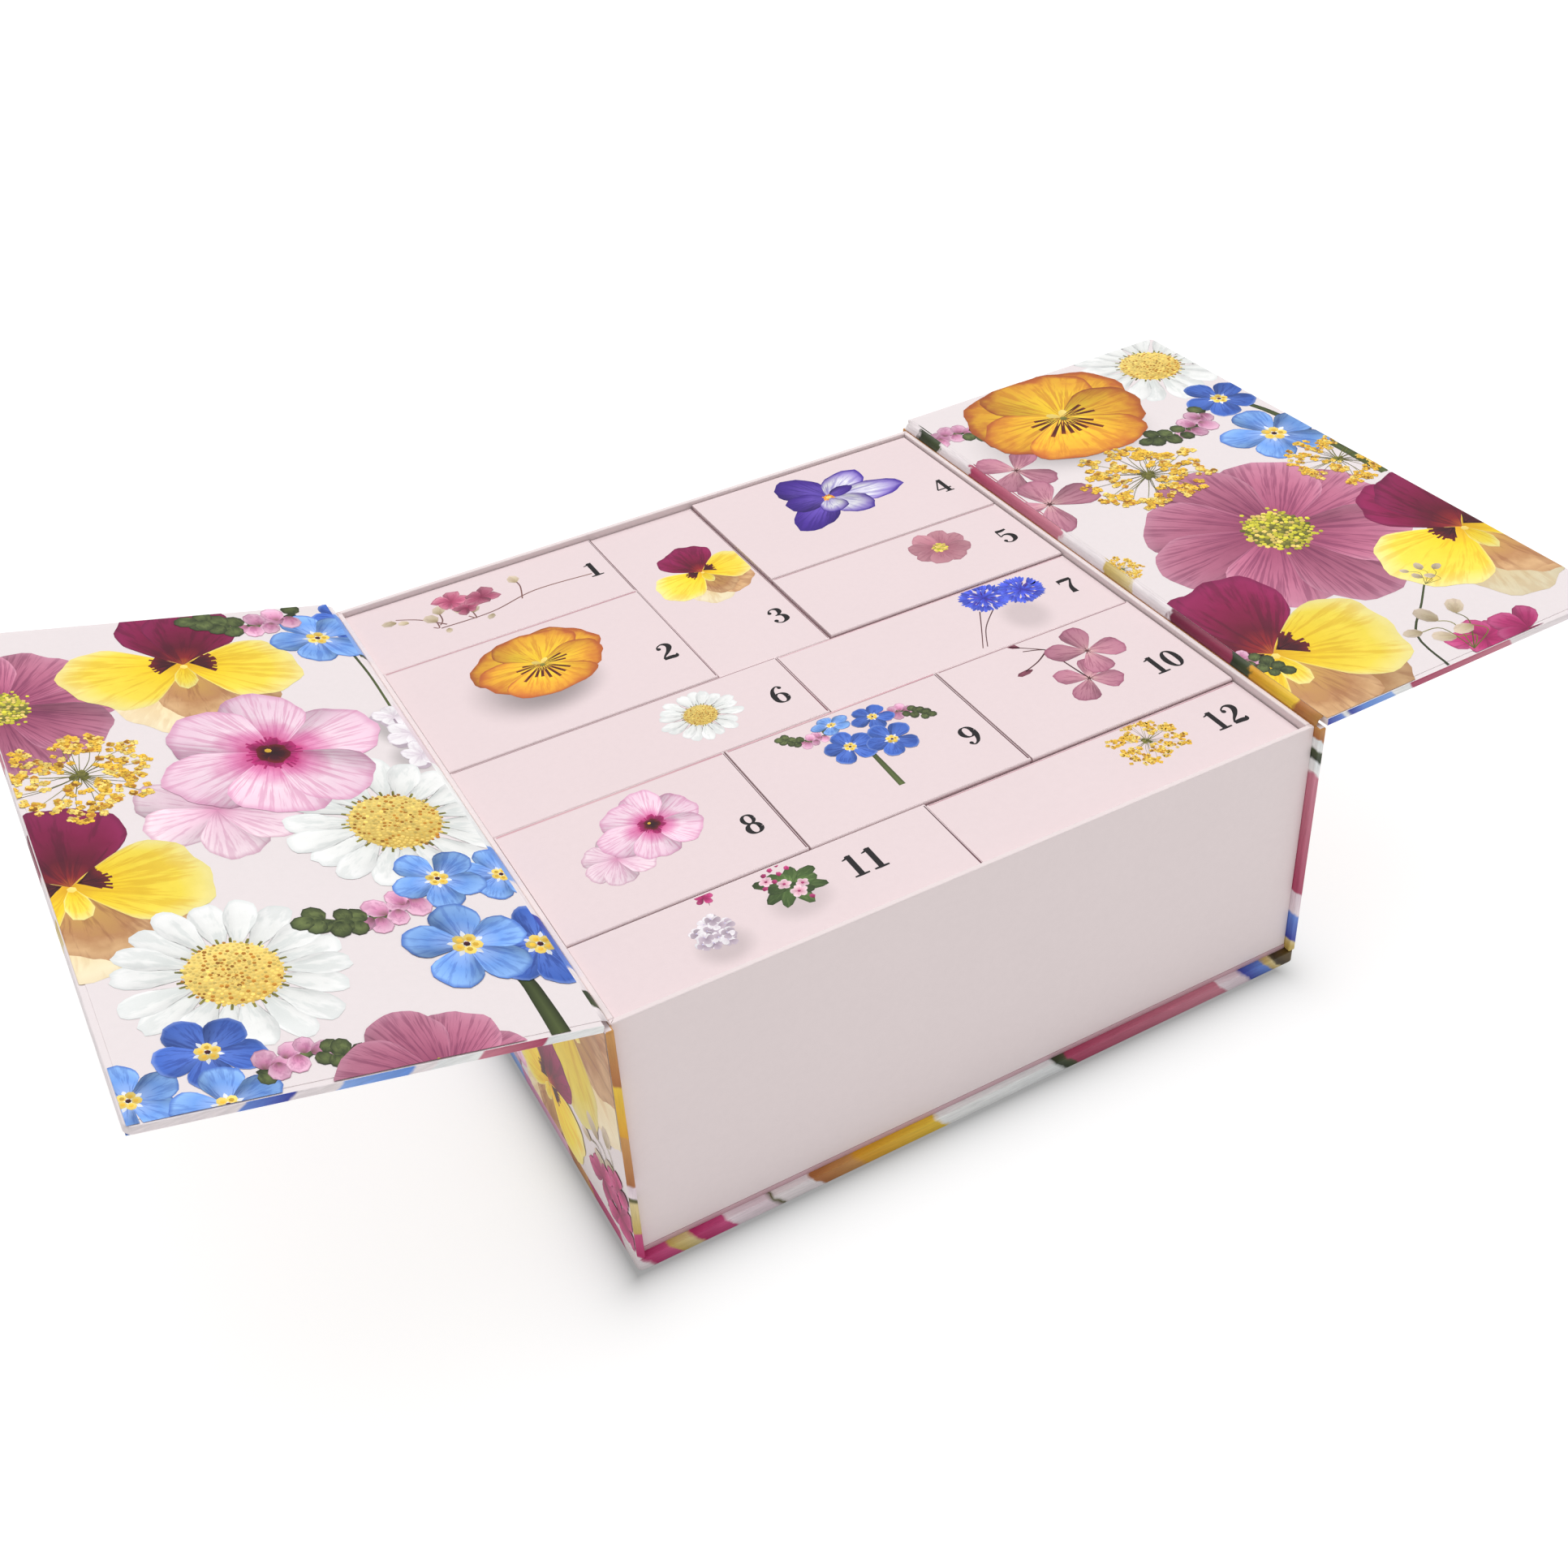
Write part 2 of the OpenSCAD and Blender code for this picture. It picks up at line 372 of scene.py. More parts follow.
for side, word in sides:
    out, upward = doorWays(side)
    hinge = Vector((side * hingeX, halfDeep, hingeZ))
    wrapBands["door_" + word] = bandPaper("wrap_door_" + word, out, hinge, doorBands[word][0], upSlant)
    wrapBands["door_end_" + word] = bandPaper(
        "wrap_door_end_" + word, (0, -1, 0), hinge + doorWide * out, doorBands[word][1], upSlant)
    wrapBands["side_" + word] = bandPaper(
        "wrap_side_" + word, (0, 0, 1), (side * hingeX, 0, low("side_board_left").z), sideBands[word],
        (0.9, 0, 0))
    wrapBands["hinge_" + word] = bandPaper("wrap_hinge_" + word, (0, -1, 0), hinge, hingeBands[word],
                                           (0.8 * side, 0, 0), 9.0)


def wrapFaces(work, ways):                      # gives each face the paper of the way that it looks
    for face in work.faces:
        face.normal_update()
        face.material_index = max(range(len(ways)), key=lambda k: face.normal.dot(ways[k][0]))
    return [finish for way, finish in ways]


inks = {}                                       # in the order that faces number them


def printedInk(name, stops, vein=None, veinShare=0.4, veins=16, edge=None, edgeShare=0.5, fold=0.0,
               blur=0.12, tones=0.16, side=0.14, cover=0.0):
    finish = Finish("ink_" + name, 0.42, 0.22)
    petalMap = finish.add("ShaderNodeUVMap", {"uv_map": "Petal"})
    across = finish.add("ShaderNodeSeparateXYZ", {}, {0: petalMap})
    along = Wire(finish, across.socket.node.outputs[1])
    tone = finish.add("ShaderNodeAttribute", {"attribute_name": "tone"}, out=2)
    cloud = finish.noise(160.0, 3.0)
    colour = finish.add("ShaderNodeValToRGB",
                        {"stops": [(at, tint(*value)) for at, value in stops]},
                        {0: along + blur * (cloud - 0.5)})
    middle = abs(across * 2.0 - 1.0)
    if vein:
        streakAt = finish.add("ShaderNodeCombineXYZ", {}, {
            0: across * float(veins), 1: along * 1.6, 2: tone * 9.0})
        streak = finish.noise(1.0, 3.0, 0.65, streakAt)
        lines = finish.soft(streak, 0.47, 0.6) * (1.1 - 0.5 * along)
        colour = finish.mix(lines * veinShare, colour, tint(*vein))
    if edge:
        rim = finish.soft(middle, 0.8, 1.0)
        tip = finish.soft(along + 0.08 * (cloud - 0.5), 0.9, 1.0)
        colour = finish.mix(rim.calc("MAXIMUM", rim, tip) * edgeShare, colour, tint(*edge))
    light = 1.0 + tones * tone + 0.14 * (cloud - 0.5) + side * (across - 0.5)
    if fold:
        light = light + fold * (0.5 - middle)
    if cover:                                   # the side that the next petal lies over
        light = light - cover * finish.soft(across, 0.46, 0.2) * finish.soft(along, 0.1, 0.45)
    grain = finish.grain()
    light = light + 0.08 * (grain - 0.5)
    inks[name] = finish.done(finish.shaded(colour, light), grain)


printedInk("cosmos", [(0.0, (128, 48, 82)), (0.3, (170, 84, 118)), (0.7, (196, 114, 144)),
                      (1.0, (206, 134, 160))],
           vein=(128, 52, 92), veinShare=0.75, veins=42, edge=(212, 150, 174), edgeShare=0.4, side=0.2,
           cover=0.3)
printedInk("cosmosSmall", [(0.0, (150, 84, 104)), (0.4, (190, 122, 138)), (1.0, (205, 146, 158))],
           vein=(150, 88, 108), veinShare=0.5, veins=12, edge=(176, 110, 128), edgeShare=0.4)
printedInk("daisy", [(0.0, (214, 214, 204)), (0.3, (240, 241, 238)), (1.0, (254, 254, 253))],
           vein=(212, 218, 216), veinShare=0.6, veins=4, edge=(226, 230, 229), edgeShare=0.55, tones=0.03,
           side=0.06, cover=0.14)
printedInk("disc", [(0.0, (214, 176, 78)), (1.0, (242, 216, 124))], tones=0.3)
printedInk("phlox", [(0.0, (150, 18, 86)), (0.2, (206, 54, 130)), (0.38, (232, 150, 192)),
                     (0.6, (246, 218, 232)), (1.0, (244, 206, 226))],
           vein=(206, 96, 156), veinShare=0.55, veins=40, edge=(214, 140, 180), edgeShare=0.55, blur=0.25,
           side=0.2, cover=0.3)
printedInk("phloxPale", [(0.0, (214, 140, 176)), (0.3, (238, 200, 218)), (1.0, (247, 226, 234))],
           vein=(206, 140, 174), veinShare=0.6, veins=20, edge=(204, 150, 176), edgeShare=0.65, side=0.2,
           cover=0.25)
printedInk("eyeMagenta", [(0.0, (70, 14, 34)), (0.5, (134, 18, 74)), (1.0, (190, 40, 118))],
           vein=(96, 12, 50), veinShare=0.6, veins=8)
printedInk("forget", [(0.0, (206, 214, 246)), (0.22, (152, 184, 242)), (0.6, (114, 162, 235)),
                      (1.0, (146, 190, 246))],
           vein=(58, 100, 192), veinShare=0.6, veins=14, edge=(60, 104, 198), edgeShare=0.75, side=0.24,
           cover=0.34)
printedInk("forgetDark", [(0.0, (160, 172, 232)), (0.3, (88, 124, 214)), (1.0, (62, 104, 198))],
           vein=(36, 64, 150), veinShare=0.7, veins=14, edge=(132, 160, 226), edgeShare=0.6, side=0.2,
           cover=0.3)
printedInk("whiteRay", [(0.0, (240, 236, 220)), (1.0, (232, 238, 252))])
printedInk("violaTop", [(0.0, (206, 104, 36)), (0.13, (150, 36, 42)), (0.32, (108, 12, 44)),
                        (0.65, (138, 16, 72)), (1.0, (156, 34, 94))],
           vein=(78, 8, 38), veinShare=0.6, veins=14, edge=(96, 14, 60), edgeShare=0.4)
printedInk("violaSide", [(0.0, (232, 172, 24)), (0.3, (255, 218, 40)), (0.75, (255, 230, 80)),
                         (1.0, (252, 238, 150))],
           vein=(232, 176, 24), veinShare=0.6, veins=18, edge=(247, 232, 150), edgeShare=0.6, side=0.1)
printedInk("violaLow", [(0.0, (246, 210, 70)), (0.3, (206, 160, 84)), (0.7, (190, 138, 92)),
                        (1.0, (222, 182, 134))],
           vein=(150, 92, 62), veinShare=0.6, veins=14, edge=(170, 112, 76), edgeShare=0.4, blur=0.4)
printedInk("violaPale", [(0.0, (250, 224, 100)), (0.35, (238, 206, 140)), (1.0, (247, 236, 204))],
           vein=(214, 170, 110), veinShare=0.5, veins=12, edge=(230, 204, 160), edgeShare=0.4)
printedInk("violaDark", [(0.0, (40, 8, 18)), (0.6, (66, 10, 28)), (1.0, (112, 26, 34))])
printedInk("pansyBack", [(0.0, (255, 214, 40)), (0.5, (254, 206, 52)), (0.82, (242, 176, 50)),
                         (1.0, (204, 112, 50))],
           vein=(214, 128, 40), veinShare=0.7, veins=34, edge=(178, 86, 46), edgeShare=0.75, blur=0.55,
           cover=0.2)
printedInk("pansyFront", [(0.0, (255, 228, 70)), (0.3, (254, 208, 50)), (0.72, (246, 180, 48)),
                          (1.0, (208, 116, 48))],
           vein=(210, 120, 40), veinShare=0.7, veins=32, edge=(180, 88, 46), edgeShare=0.7, blur=0.55,
           cover=0.15)
printedInk("whisker", [(0.0, (96, 34, 18)), (0.6, (84, 22, 16)), (1.0, (132, 56, 20))], tones=0.1, side=0.0)
printedInk("gold", [(0.0, (232, 176, 40)), (1.0, (246, 204, 76))], tones=0.3)
printedInk("goldLight", [(0.0, (244, 208, 96)), (1.0, (250, 224, 128))], tones=0.3)
printedInk("goldBrown", [(0.0, (164, 104, 26)), (1.0, (200, 138, 44))], tones=0.4)
printedInk("lime", [(0.0, (196, 190, 40)), (1.0, (226, 216, 76))], tones=0.4)
printedInk("olive", [(0.0, (98, 98, 40)), (1.0, (142, 136, 62))], tones=0.4)
printedInk("stem", [(0.0, (52, 62, 34)), (1.0, (82, 94, 50))], fold=0.7, tones=0.3)
printedInk("twig", [(0.0, (112, 76, 76)), (1.0, (132, 94, 88))], fold=0.3, tones=0.3)
printedInk("darkStem", [(0.0, (74, 36, 44)), (1.0, (98, 56, 58))], fold=0.3, tones=0.3)
printedInk("budGreen", [(0.0, (46, 58, 32)), (0.55, (96, 108, 62)), (1.0, (58, 68, 40))],
           vein=(36, 46, 28), veinShare=0.5, veins=5, edge=(34, 42, 26), edgeShare=0.6, fold=0.5, tones=0.3)
printedInk("budPink", [(0.0, (112, 84, 70)), (0.4, (202, 132, 168)), (1.0, (234, 190, 212))],
           vein=(160, 80, 126), veinShare=0.5, veins=5, edge=(150, 84, 118), edgeShare=0.6, fold=0.35,
           tones=0.25)
printedInk("budBeige", [(0.0, (160, 142, 104)), (0.5, (196, 180, 150)), (1.0, (214, 196, 176))],
           vein=(160, 134, 116), veinShare=0.4, veins=6, fold=0.2, tones=0.2)
printedInk("budDark", [(0.0, (96, 48, 60)), (0.6, (138, 74, 92)), (1.0, (110, 54, 70))],
           vein=(84, 36, 50), veinShare=0.5, veins=5, fold=0.35)
printedInk("magenta", [(0.0, (150, 24, 84)), (0.6, (196, 52, 120)), (1.0, (214, 96, 150))],
           vein=(140, 24, 80), veinShare=0.5, veins=10, edge=(160, 34, 92), edgeShare=0.5, tones=0.25,
           cover=0.25)
printedInk("sprigPink", [(0.0, (150, 48, 84)), (0.6, (198, 100, 132)), (1.0, (214, 140, 160))],
           vein=(150, 52, 90), veinShare=0.5, veins=10, edge=(170, 76, 108), edgeShare=0.6, tones=0.3,
           cover=0.25)
printedInk("clarkia", [(0.0, (226, 186, 182)), (0.3, (208, 146, 162)), (1.0, (192, 124, 148))],
           vein=(152, 80, 108), veinShare=0.7, veins=14, edge=(160, 88, 116), edgeShare=0.6, cover=0.2)
printedInk("crocusDeep", [(0.0, (104, 80, 190)), (0.4, (112, 84, 196)), (0.8, (78, 46, 160)),
                          (1.0, (66, 34, 142))],
           vein=(54, 26, 128), veinShare=0.7, veins=20, edge=(56, 28, 134), edgeShare=0.6, tones=0.2,
           cover=0.3)
printedInk("crocusPale", [(0.0, (100, 70, 180)), (0.2, (206, 198, 236)), (0.6, (246, 245, 251)),
                          (0.84, (172, 154, 222)), (1.0, (84, 56, 172))],
           vein=(118, 94, 196), veinShare=0.7, veins=18, edge=(74, 44, 160), edgeShare=0.9, cover=0.25)
printedInk("orange", [(0.0, (234, 120, 20)), (1.0, (246, 170, 50))], tones=0.4)
printedInk("corn", [(0.0, (58, 50, 170)), (0.5, (70, 84, 216)), (1.0, (96, 118, 236))],
           vein=(46, 44, 156), veinShare=0.5, veins=6, edge=(64, 76, 204), edgeShare=0.3, tones=0.35)
printedInk("cornDark", [(0.0, (56, 30, 120)), (1.0, (84, 58, 172))], tones=0.4)
printedInk("snow", [(0.0, (226, 212, 222)), (0.5, (242, 236, 240)), (1.0, (250, 247, 249))],
           vein=(214, 198, 212), veinShare=0.5, veins=6, edge=(206, 186, 204), edgeShare=0.5, tones=0.1)
printedInk("leaf", [(0.0, (50, 76, 34)), (0.5, (78, 106, 50)), (1.0, (64, 88, 42))],
           vein=(118, 142, 82), veinShare=0.5, veins=8, edge=(44, 62, 30), edgeShare=0.4, tones=0.4)
printedInk("blush", [(0.0, (206, 120, 150)), (0.5, (238, 190, 204)), (1.0, (248, 222, 228))],
           vein=(214, 140, 168), veinShare=0.5, veins=8, tones=0.15)
printedInk("snowShade", [(0.0, (166, 146, 164)), (1.0, (204, 188, 200))], tones=0.2)
printedInk("figure", [(0.0, (20, 16, 20)), (1.0, (20, 16, 20))], tones=0.0, side=0.0)
# painted shade for the creases where the tray's paper folds over its corners
printedInk("crease", [(0.0, (120, 92, 96)), (1.0, (150, 124, 126))], tones=0.1)
# painted shade for the joints between cartons: dark along a lid's right side, paler along its back
printedInk("seam", [(0.0, (122, 76, 86)), (1.0, (92, 56, 64))], tones=0.3)
printedInk("seamPale", [(0.0, (206, 162, 170)), (0.5, (214, 174, 180)), (1.0, (196, 148, 158))], tones=0.4)
print("stage: finishes mixed")

spiral = 2.39996                                # the turn from seed to seed, in radians
film = {
    "lift": 0.012,                              # mm from the paper to the first layer
    "jitter": 0.13,                             # of a petal step
    "petalStep": 0.0038,                        # mm between petals of one bloom
    "bloomStep": 0.034,                         # mm between blooms that overlap
}


def pathPoint(points, share):                   # a smooth line through the points
    spans = len(points) - 1
    at = min(max(share, 0.0), 1.0) * spans
    index = min(int(at), spans - 1)
    t = at - index
    near = [points[min(max(index + k, 0), spans)] for k in (-1, 0, 1, 2)]
    return tuple(0.5 * (2 * b + (c - a) * t + (2 * a - 5 * b + 4 * c - d) * t * t
                        + (3 * b - a - 3 * c + d) * t ** 3) for a, b, c, d in zip(*near))


class Bloom:                                    # one drawn flower about its centre, in parts of its size
    def __init__(self, seed, size=1.0):
        self.size = size
        self.work = bmesh.new()
        self.map = self.work.loops.layers.uv.new("Petal")
        self.tone = self.work.verts.layers.float.new("tone")
        self.draw = random.Random(seed)
        self.count = 0

    def height(self, layer):                    # no two neighbours lie in one plane
        self.count += 1
        return (layer + film["jitter"] * (self.count % 7)) * film["petalStep"]

    def patch(self, ink, columns, rows, place, layer=0.0):
        tone = self.draw.uniform(-1, 1)
        made = bmesh.ops.create_grid(self.work, x_segments=columns, y_segments=rows, size=0.5)
        for face in {face for vert in made["verts"] for face in vert.link_faces}:
            face.material_index = list(inks).index(ink)
            for loop in face.loops:
                loop[self.map].uv = (loop.vert.co.x + 0.5, loop.vert.co.y + 0.5)
        level = self.height(layer)
        for vert in made["verts"]:
            x, y = place(vert.co.x + 0.5, vert.co.y + 0.5)
            vert.co = (x * self.size, y * self.size, level)
            vert[self.tone] = tone

    def petal(self, ink, length, wide, turn, at=(0, 0), layer=0.0, belly=0.6, sweep=125, notch=0.0,
              ruffle=0.03, detail=(10, 4), start=0.0):
        waveA, waveB = self.draw.uniform(0, 6.28), self.draw.uniform(0, 6.28)
        aim = math.radians(turn)

        def place(across, along):
            swing = math.radians(sweep) * (2 * across - 1)
            wave = 1 + ruffle * (math.sin(3 * swing + waveA) + 0.6 * math.sin(8 * swing + waveB))
            x = wide * math.sin(swing) * wave * along ** 0.85
            y = length * (belly + (1 - belly) * math.cos(swing)) * wave
            y = start + (y - notch * length * math.exp(-(swing / 0.3) ** 2) - start) * along
            return (at[0] + y * math.cos(aim) + x * math.sin(aim),
                    at[1] + y * math.sin(aim) - x * math.cos(aim))

        self.patch(ink, *detail, place, layer)

    def petals(self, table, **shape):           # ink, length, width and turn of each, from the lowest up
        for layer, (ink, length, wide, turn) in enumerate(table):
            self.petal(ink, length, wide, turn, layer=layer, **shape)

    def ring(self, ink, count, length, wide, turn=0.0, layer=0.0, step=1.0, loose=0.05, levels=99, **shape):
        for index in range(count):
            vary = 1 + self.draw.uniform(-loose, loose)
            swing = turn + 360 * (index + self.draw.uniform(-loose, loose) * 1.5) / count
            self.petal(ink, length * vary, wide * (1 + self.draw.uniform(-loose, loose)), swing,
                       layer=layer + step * (index % levels), **shape)

    def whiskers(self, ink, turn, spread, count, reach, width, start, layer, at=(0, 0)):
        for index in range(count):
            swing = turn + spread * ((index + 0.5) / count - 0.5)
            self.petal(ink, reach * self.draw.uniform(0.65, 1.0), width, swing, at, layer, belly=0.45,
                       sweep=150, ruffle=0.0, detail=(3, 3), start=start)

    def dot(self, ink, x, y, radius, layer=0.0, sides=6):
        x, y, radius = (value * self.size for value in (x, y, radius))
        made = bmesh.ops.create_circle(
            self.work, cap_ends=True, radius=radius, segments=sides,
            matrix=Matrix.Translation((x, y, self.height(layer))))
        tone = self.draw.uniform(-1, 1)
        for vert in made["verts"]:
            vert[self.tone] = tone
        for face in made["verts"][0].link_faces:
            face.material_index = list(inks).index(ink)
            for loop in face.loops:
                loop[self.map].uv = (0.5 + (loop.vert.co.x - x) / (2 * radius),
                                     0.5 + (loop.vert.co.y - y) / (2 * radius))

    def ribbon(self, ink, points, widths, layer=0.0, rows=0):
        sizes = [(width,) for width in widths]

        def place(across, along):
            x, y = pathPoint(points, along)
            before = pathPoint(points, along - 0.02)
            after = pathPoint(points, along + 0.02)
            run = Vector((after[0] - before[0], after[1] - before[1])).normalized()
            off = (across - 0.5) * pathPoint(sizes, along)[0]
            return x + run.y * off, y - run.x * off

        self.patch(ink, 2, rows or 5 * (len(points) - 1), place, layer)

    def seeds(self, choice, radius, count, size, layer=0.0):    # a sunflower spiral of dots
        for index in range(count):
            x, y = polar(radius * math.sqrt((index + 0.5) / count), index * spiral)
            self.dot(self.draw.choice(choice), x, y, size * self.draw.uniform(0.75, 1.2),
                     layer + 0.25 * (index % 3), 5)


def polar(reach, aim):
    return reach * math.cos(aim), reach * math.sin(aim)


def drawCosmos(bloom):
    bloom.ring("cosmos", 8, 1, 0.385, notch=0.035, ruffle=0.018, belly=0.64, detail=(20, 6))
    bloom.dot("olive", 0, 0, 0.235, 8.2, 24)
    bloom.seeds(["lime", "lime", "goldLight", "olive"], 0.25, 150, 0.021, 9.2)
    for index in range(26):
        swing = bloom.draw.uniform(0, 6.28)
        bloom.dot("lime", *polar(bloom.draw.uniform(0.2, 0.31), swing), 0.018, 10.3, 5)


def drawCosmosSmall(bloom):
    bloom.ring("cosmosSmall", 8, 1, 0.36, notch=0.03, belly=0.64, detail=(8, 4))
    bloom.seeds(["lime", "goldLight"], 0.25, 26, 0.06, 9)


def drawDaisy(bloom):
    for layer, shift in ((0, 0), (3, 20)):
        bloom.ring("daisy", 9, 1, 0.155, turn=shift, layer=layer, levels=3, loose=0.07, belly=0.76,
                   sweep=135, notch=0.025, ruffle=0.012, start=0.3, detail=(12, 4))
    for index in range(22):
        swing = 360 * index / 22 + bloom.draw.uniform(-6, 6)
        bloom.petal("olive", 0.1, 0.016, swing, polar(0.38, math.radians(swing)), 6.2, detail=(3, 2))
    bloom.dot("disc", 0, 0, 0.4, 6.6, 28)
    bloom.seeds(["disc", "disc", "disc", "goldLight", "goldBrown"], 0.42, 320, 0.019, 7.6)
    bloom.seeds(["goldBrown", "disc", "disc"], 0.2, 60, 0.016, 8.6)


def drawPhloxPale(bloom, ink="phloxPale"):
    bloom.ring(ink, 6, 1, 0.42, turn=20, notch=0.02, ruffle=0.025, belly=0.62, sweep=130,
               detail=(20, 6), loose=0.08)


def drawPhlox(bloom):
    drawPhloxPale(bloom, "phlox")
    bloom.whiskers("eyeMagenta", 0, 360, 34, 0.34, 0.014, 0, 6.2)
    bloom.ring("eyeMagenta", 6, 0.25, 0.085, turn=22, layer=6.8, step=0.2, ruffle=0.06, loose=0.15,
               detail=(5, 3))
    bloom.ring("violaDark", 5, 0.16, 0.08, turn=55, layer=8.0, step=0.2, detail=(5, 2))
    bloom.dot("gold", -0.03, 0.05, 0.032, 9.1, 7)


def drawForget(bloom, ink="forget"):
    bloom.ring(ink, 5, 1, 0.395, turn=90, belly=0.64, sweep=130, ruffle=0.02, detail=(14, 5), loose=0.06)
    bloom.ring("whiteRay", 5, 0.31, 0.045, turn=90, layer=5.2, step=0.1, detail=(4, 3))
    for index in range(5):
        aim = math.radians(54 + 72 * index)
        bloom.dot("goldLight", *polar(0.15, aim), 0.1, 6, 7)
        bloom.dot("gold", *polar(0.13, aim), 0.05, 6.8, 6)
    bloom.dot("violaDark", 0, 0, 0.055, 7.6, 7)


def drawForgetDark(bloom):
    drawForget(bloom, "forgetDark")


def drawViola(bloom):
    bloom.petals((("violaPale", 1.08, 0.46, 254), ("violaLow", 1.02, 0.44, 296)), detail=(24, 5))
    bloom.petal("violaLow", 0.86, 0.34, 276, layer=2, detail=(18, 4))
    for layer, (length, turn) in enumerate(((0.95, 101), (1.0, 77)), 3):
        bloom.petal("violaTop", length, 0.4, turn, layer=layer, belly=0.62, detail=(24, 5))
    bloom.petal("violaSide", 1.02, 0.5, 198, layer=5, detail=(24, 5))
    bloom.petal("violaSide", 0.96, 0.48, 350, layer=6, detail=(24, 5))
    bloom.petal("violaSide", 0.4, 0.1, 268, layer=6.6, detail=(6, 3))
    for turn in (184, 4):
        across = math.cos(math.radians(turn))
        bloom.whiskers("violaDark", turn, 92, 16, 0.3, 0.016, 0, 7.4, (0.07 * across, 0.03))
        bloom.petal("violaDark", 0.2, 0.07, turn, (0.05 * across, 0.03), 7.2, ruffle=0.12, detail=(6, 2))
    bloom.dot("goldLight", 0, -0.03, 0.035, 8, 6)


def drawPansy(bloom):
    bloom.petals((("pansyBack", 1.0, 0.6, 150), ("pansyBack", 1.02, 0.6, 42), ("pansyBack", 0.95, 0.62, 82)),
                 belly=0.55, detail=(20, 6))
    bloom.petal("pansyFront", 0.92, 0.46, 190, layer=3, belly=0.58, detail=(18, 6))
    bloom.petal("pansyFront", 0.9, 0.46, 350, layer=4, belly=0.58, detail=(18, 6))
    bloom.petal("pansyFront", 0.86, 0.66, 268, layer=5, belly=0.56, ruffle=0.02, detail=(20, 6))
    bloom.whiskers("whisker", 268, 108, 7, 0.62, 0.03, 0.2, 6.6)
    for turn in (180, 4):
        bloom.whiskers("whisker", turn, 48, 3, 0.5, 0.027, 0.22, 6.8)
    bloom.petal("goldLight", 0.17, 0.045, 130, layer=7, detail=(5, 3))
    bloom.petal("goldLight", 0.17, 0.045, 50, layer=7.2, detail=(5, 3))
    bloom.dot("olive", 0, -0.03, 0.04, 7.8, 7)


def drawUmbel(bloom):
    heads = []
    for index in range(34):
        reach = 0.16 + 0.74 * math.sqrt(bloom.draw.random())
        heads.append(polar(reach, index * spiral + bloom.draw.uniform(-0.2, 0.2)))
    for x, y in heads:
        bend = bloom.draw.uniform(-0.12, 0.12)
        bloom.ribbon("olive", [(0, 0), (0.5 * x + bend * 0.4, 0.5 * y - bend * 0.4), (x, y)],
                     [0.014, 0.009, 0.007], 0.2, 6)
    for index in range(9):
        bloom.dot("olive", bloom.draw.uniform(-0.09, 0.09), bloom.draw.uniform(-0.09, 0.09), 0.045, 0.6)
    for x, y in heads:
        for index in range(8):
            aim = bloom.draw.uniform(0, 6.28)
            offX, offY = polar(0.15 * math.sqrt(bloom.draw.random()), aim)
            part = (0.036 + 0.12 / bloom.size) * bloom.draw.uniform(0.8, 1.15)
            layer = 1 + bloom.draw.choice((0, 1.2, 2.4))
            bloom.dot("goldBrown", x + offX, y + offY, part * 1.25, layer)
            ink = bloom.draw.choice(("gold", "gold", "goldLight"))
            for leafIndex in range(4):
                leafX, leafY = polar(part * 0.8, aim + 1.5708 * leafIndex)
                bloom.dot(ink, x + offX + leafX, y + offY + leafY, part * 0.7, layer + 0.4, 5)


def drawClarkia(bloom):
    bloom.ring("clarkia", 4, 1, 0.36, turn=38, belly=0.66, sweep=120, detail=(10, 5), loose=0.1)
    bloom.whiskers("darkStem", 90, 360, 7, 0.16, 0.014, 0, 5)
    bloom.dot("darkStem", 0, 0, 0.05, 5.6, 6)


def drawCrocus(bloom):
    bloom.petals((("crocusDeep", 0.92, 0.32, 118), ("crocusPale", 0.86, 0.3, 38),
                  ("crocusPale", 1.08, 0.3, 346), ("crocusDeep", 0.98, 0.32, 226),
                  ("crocusPale", 0.74, 0.28, 302), ("crocusDeep", 0.62, 0.26, 172),
                  ("crocusDeep", 0.44, 0.13, 20), ("crocusPale", 0.46, 0.2, 262)),
                 belly=0.56, sweep=140, detail=(16, 6))
    bloom.whiskers("orange", 100, 300, 12, 0.13, 0.018, 0, 9)
    bloom.dot("goldLight", 0, 0, 0.045, 9.8, 6)


def drawCorn(bloom):
    for index in range(13):
        swing = 360 * index / 13 + bloom.draw.uniform(-8, 8)
        for part in (-26, -9, 9, 26):
            bloom.petal("corn", 0.5 * bloom.draw.uniform(0.85, 1.1), 0.075, swing + part,
                        polar(0.42, math.radians(swing)), 0.5 * (index % 4), belly=0.55, sweep=100,
                        detail=(4, 3))
        bloom.petal("corn", 0.6, 0.1, swing, layer=2, detail=(4, 3))
    for index in range(42):
        swing = bloom.draw.uniform(0, 360)
        reach = bloom.draw.uniform(0.05, 0.34)
        bloom.petal(bloom.draw.choice(("cornDark", "corn", "corn")), 0.26, 0.035, swing,
                    polar(reach, math.radians(swing)), 3 + 0.4 * (index % 5), detail=(3, 2))


def drawHydrangea(bloom):
    for index in range(13):
        x, y = polar(0.72 * math.sqrt((index + 0.5) / 13), index * 2.4)
        turn = bloom.draw.uniform(0, 90)
        layer = 0.8 * (index % 6)
        for ink, at, under in (("snowShade", (x + 0.05, y - 0.08), 0.2), ("snow", (x, y), 0)):
            for part in range(4):
                bloom.petal(ink, 0.3, 0.15, turn + 90 * part, at, layer - under, detail=(6, 3))
        bloom.dot("crocusPale", x, y, 0.035, layer + 0.6, 5)


def drawSnowFlower(bloom):
    for shift, ink, over in ((-0.16, "snowShade", 0), (0.0, "snow", 0.45)):
        for index, length in enumerate((1.0, 0.8, 0.9, 0.7, 0.95)):
            bloom.petal(ink, length, 0.36, 72 * index + 20, (shift * 0.6, shift), 0.9 * index + over,
                        detail=(14, 4))


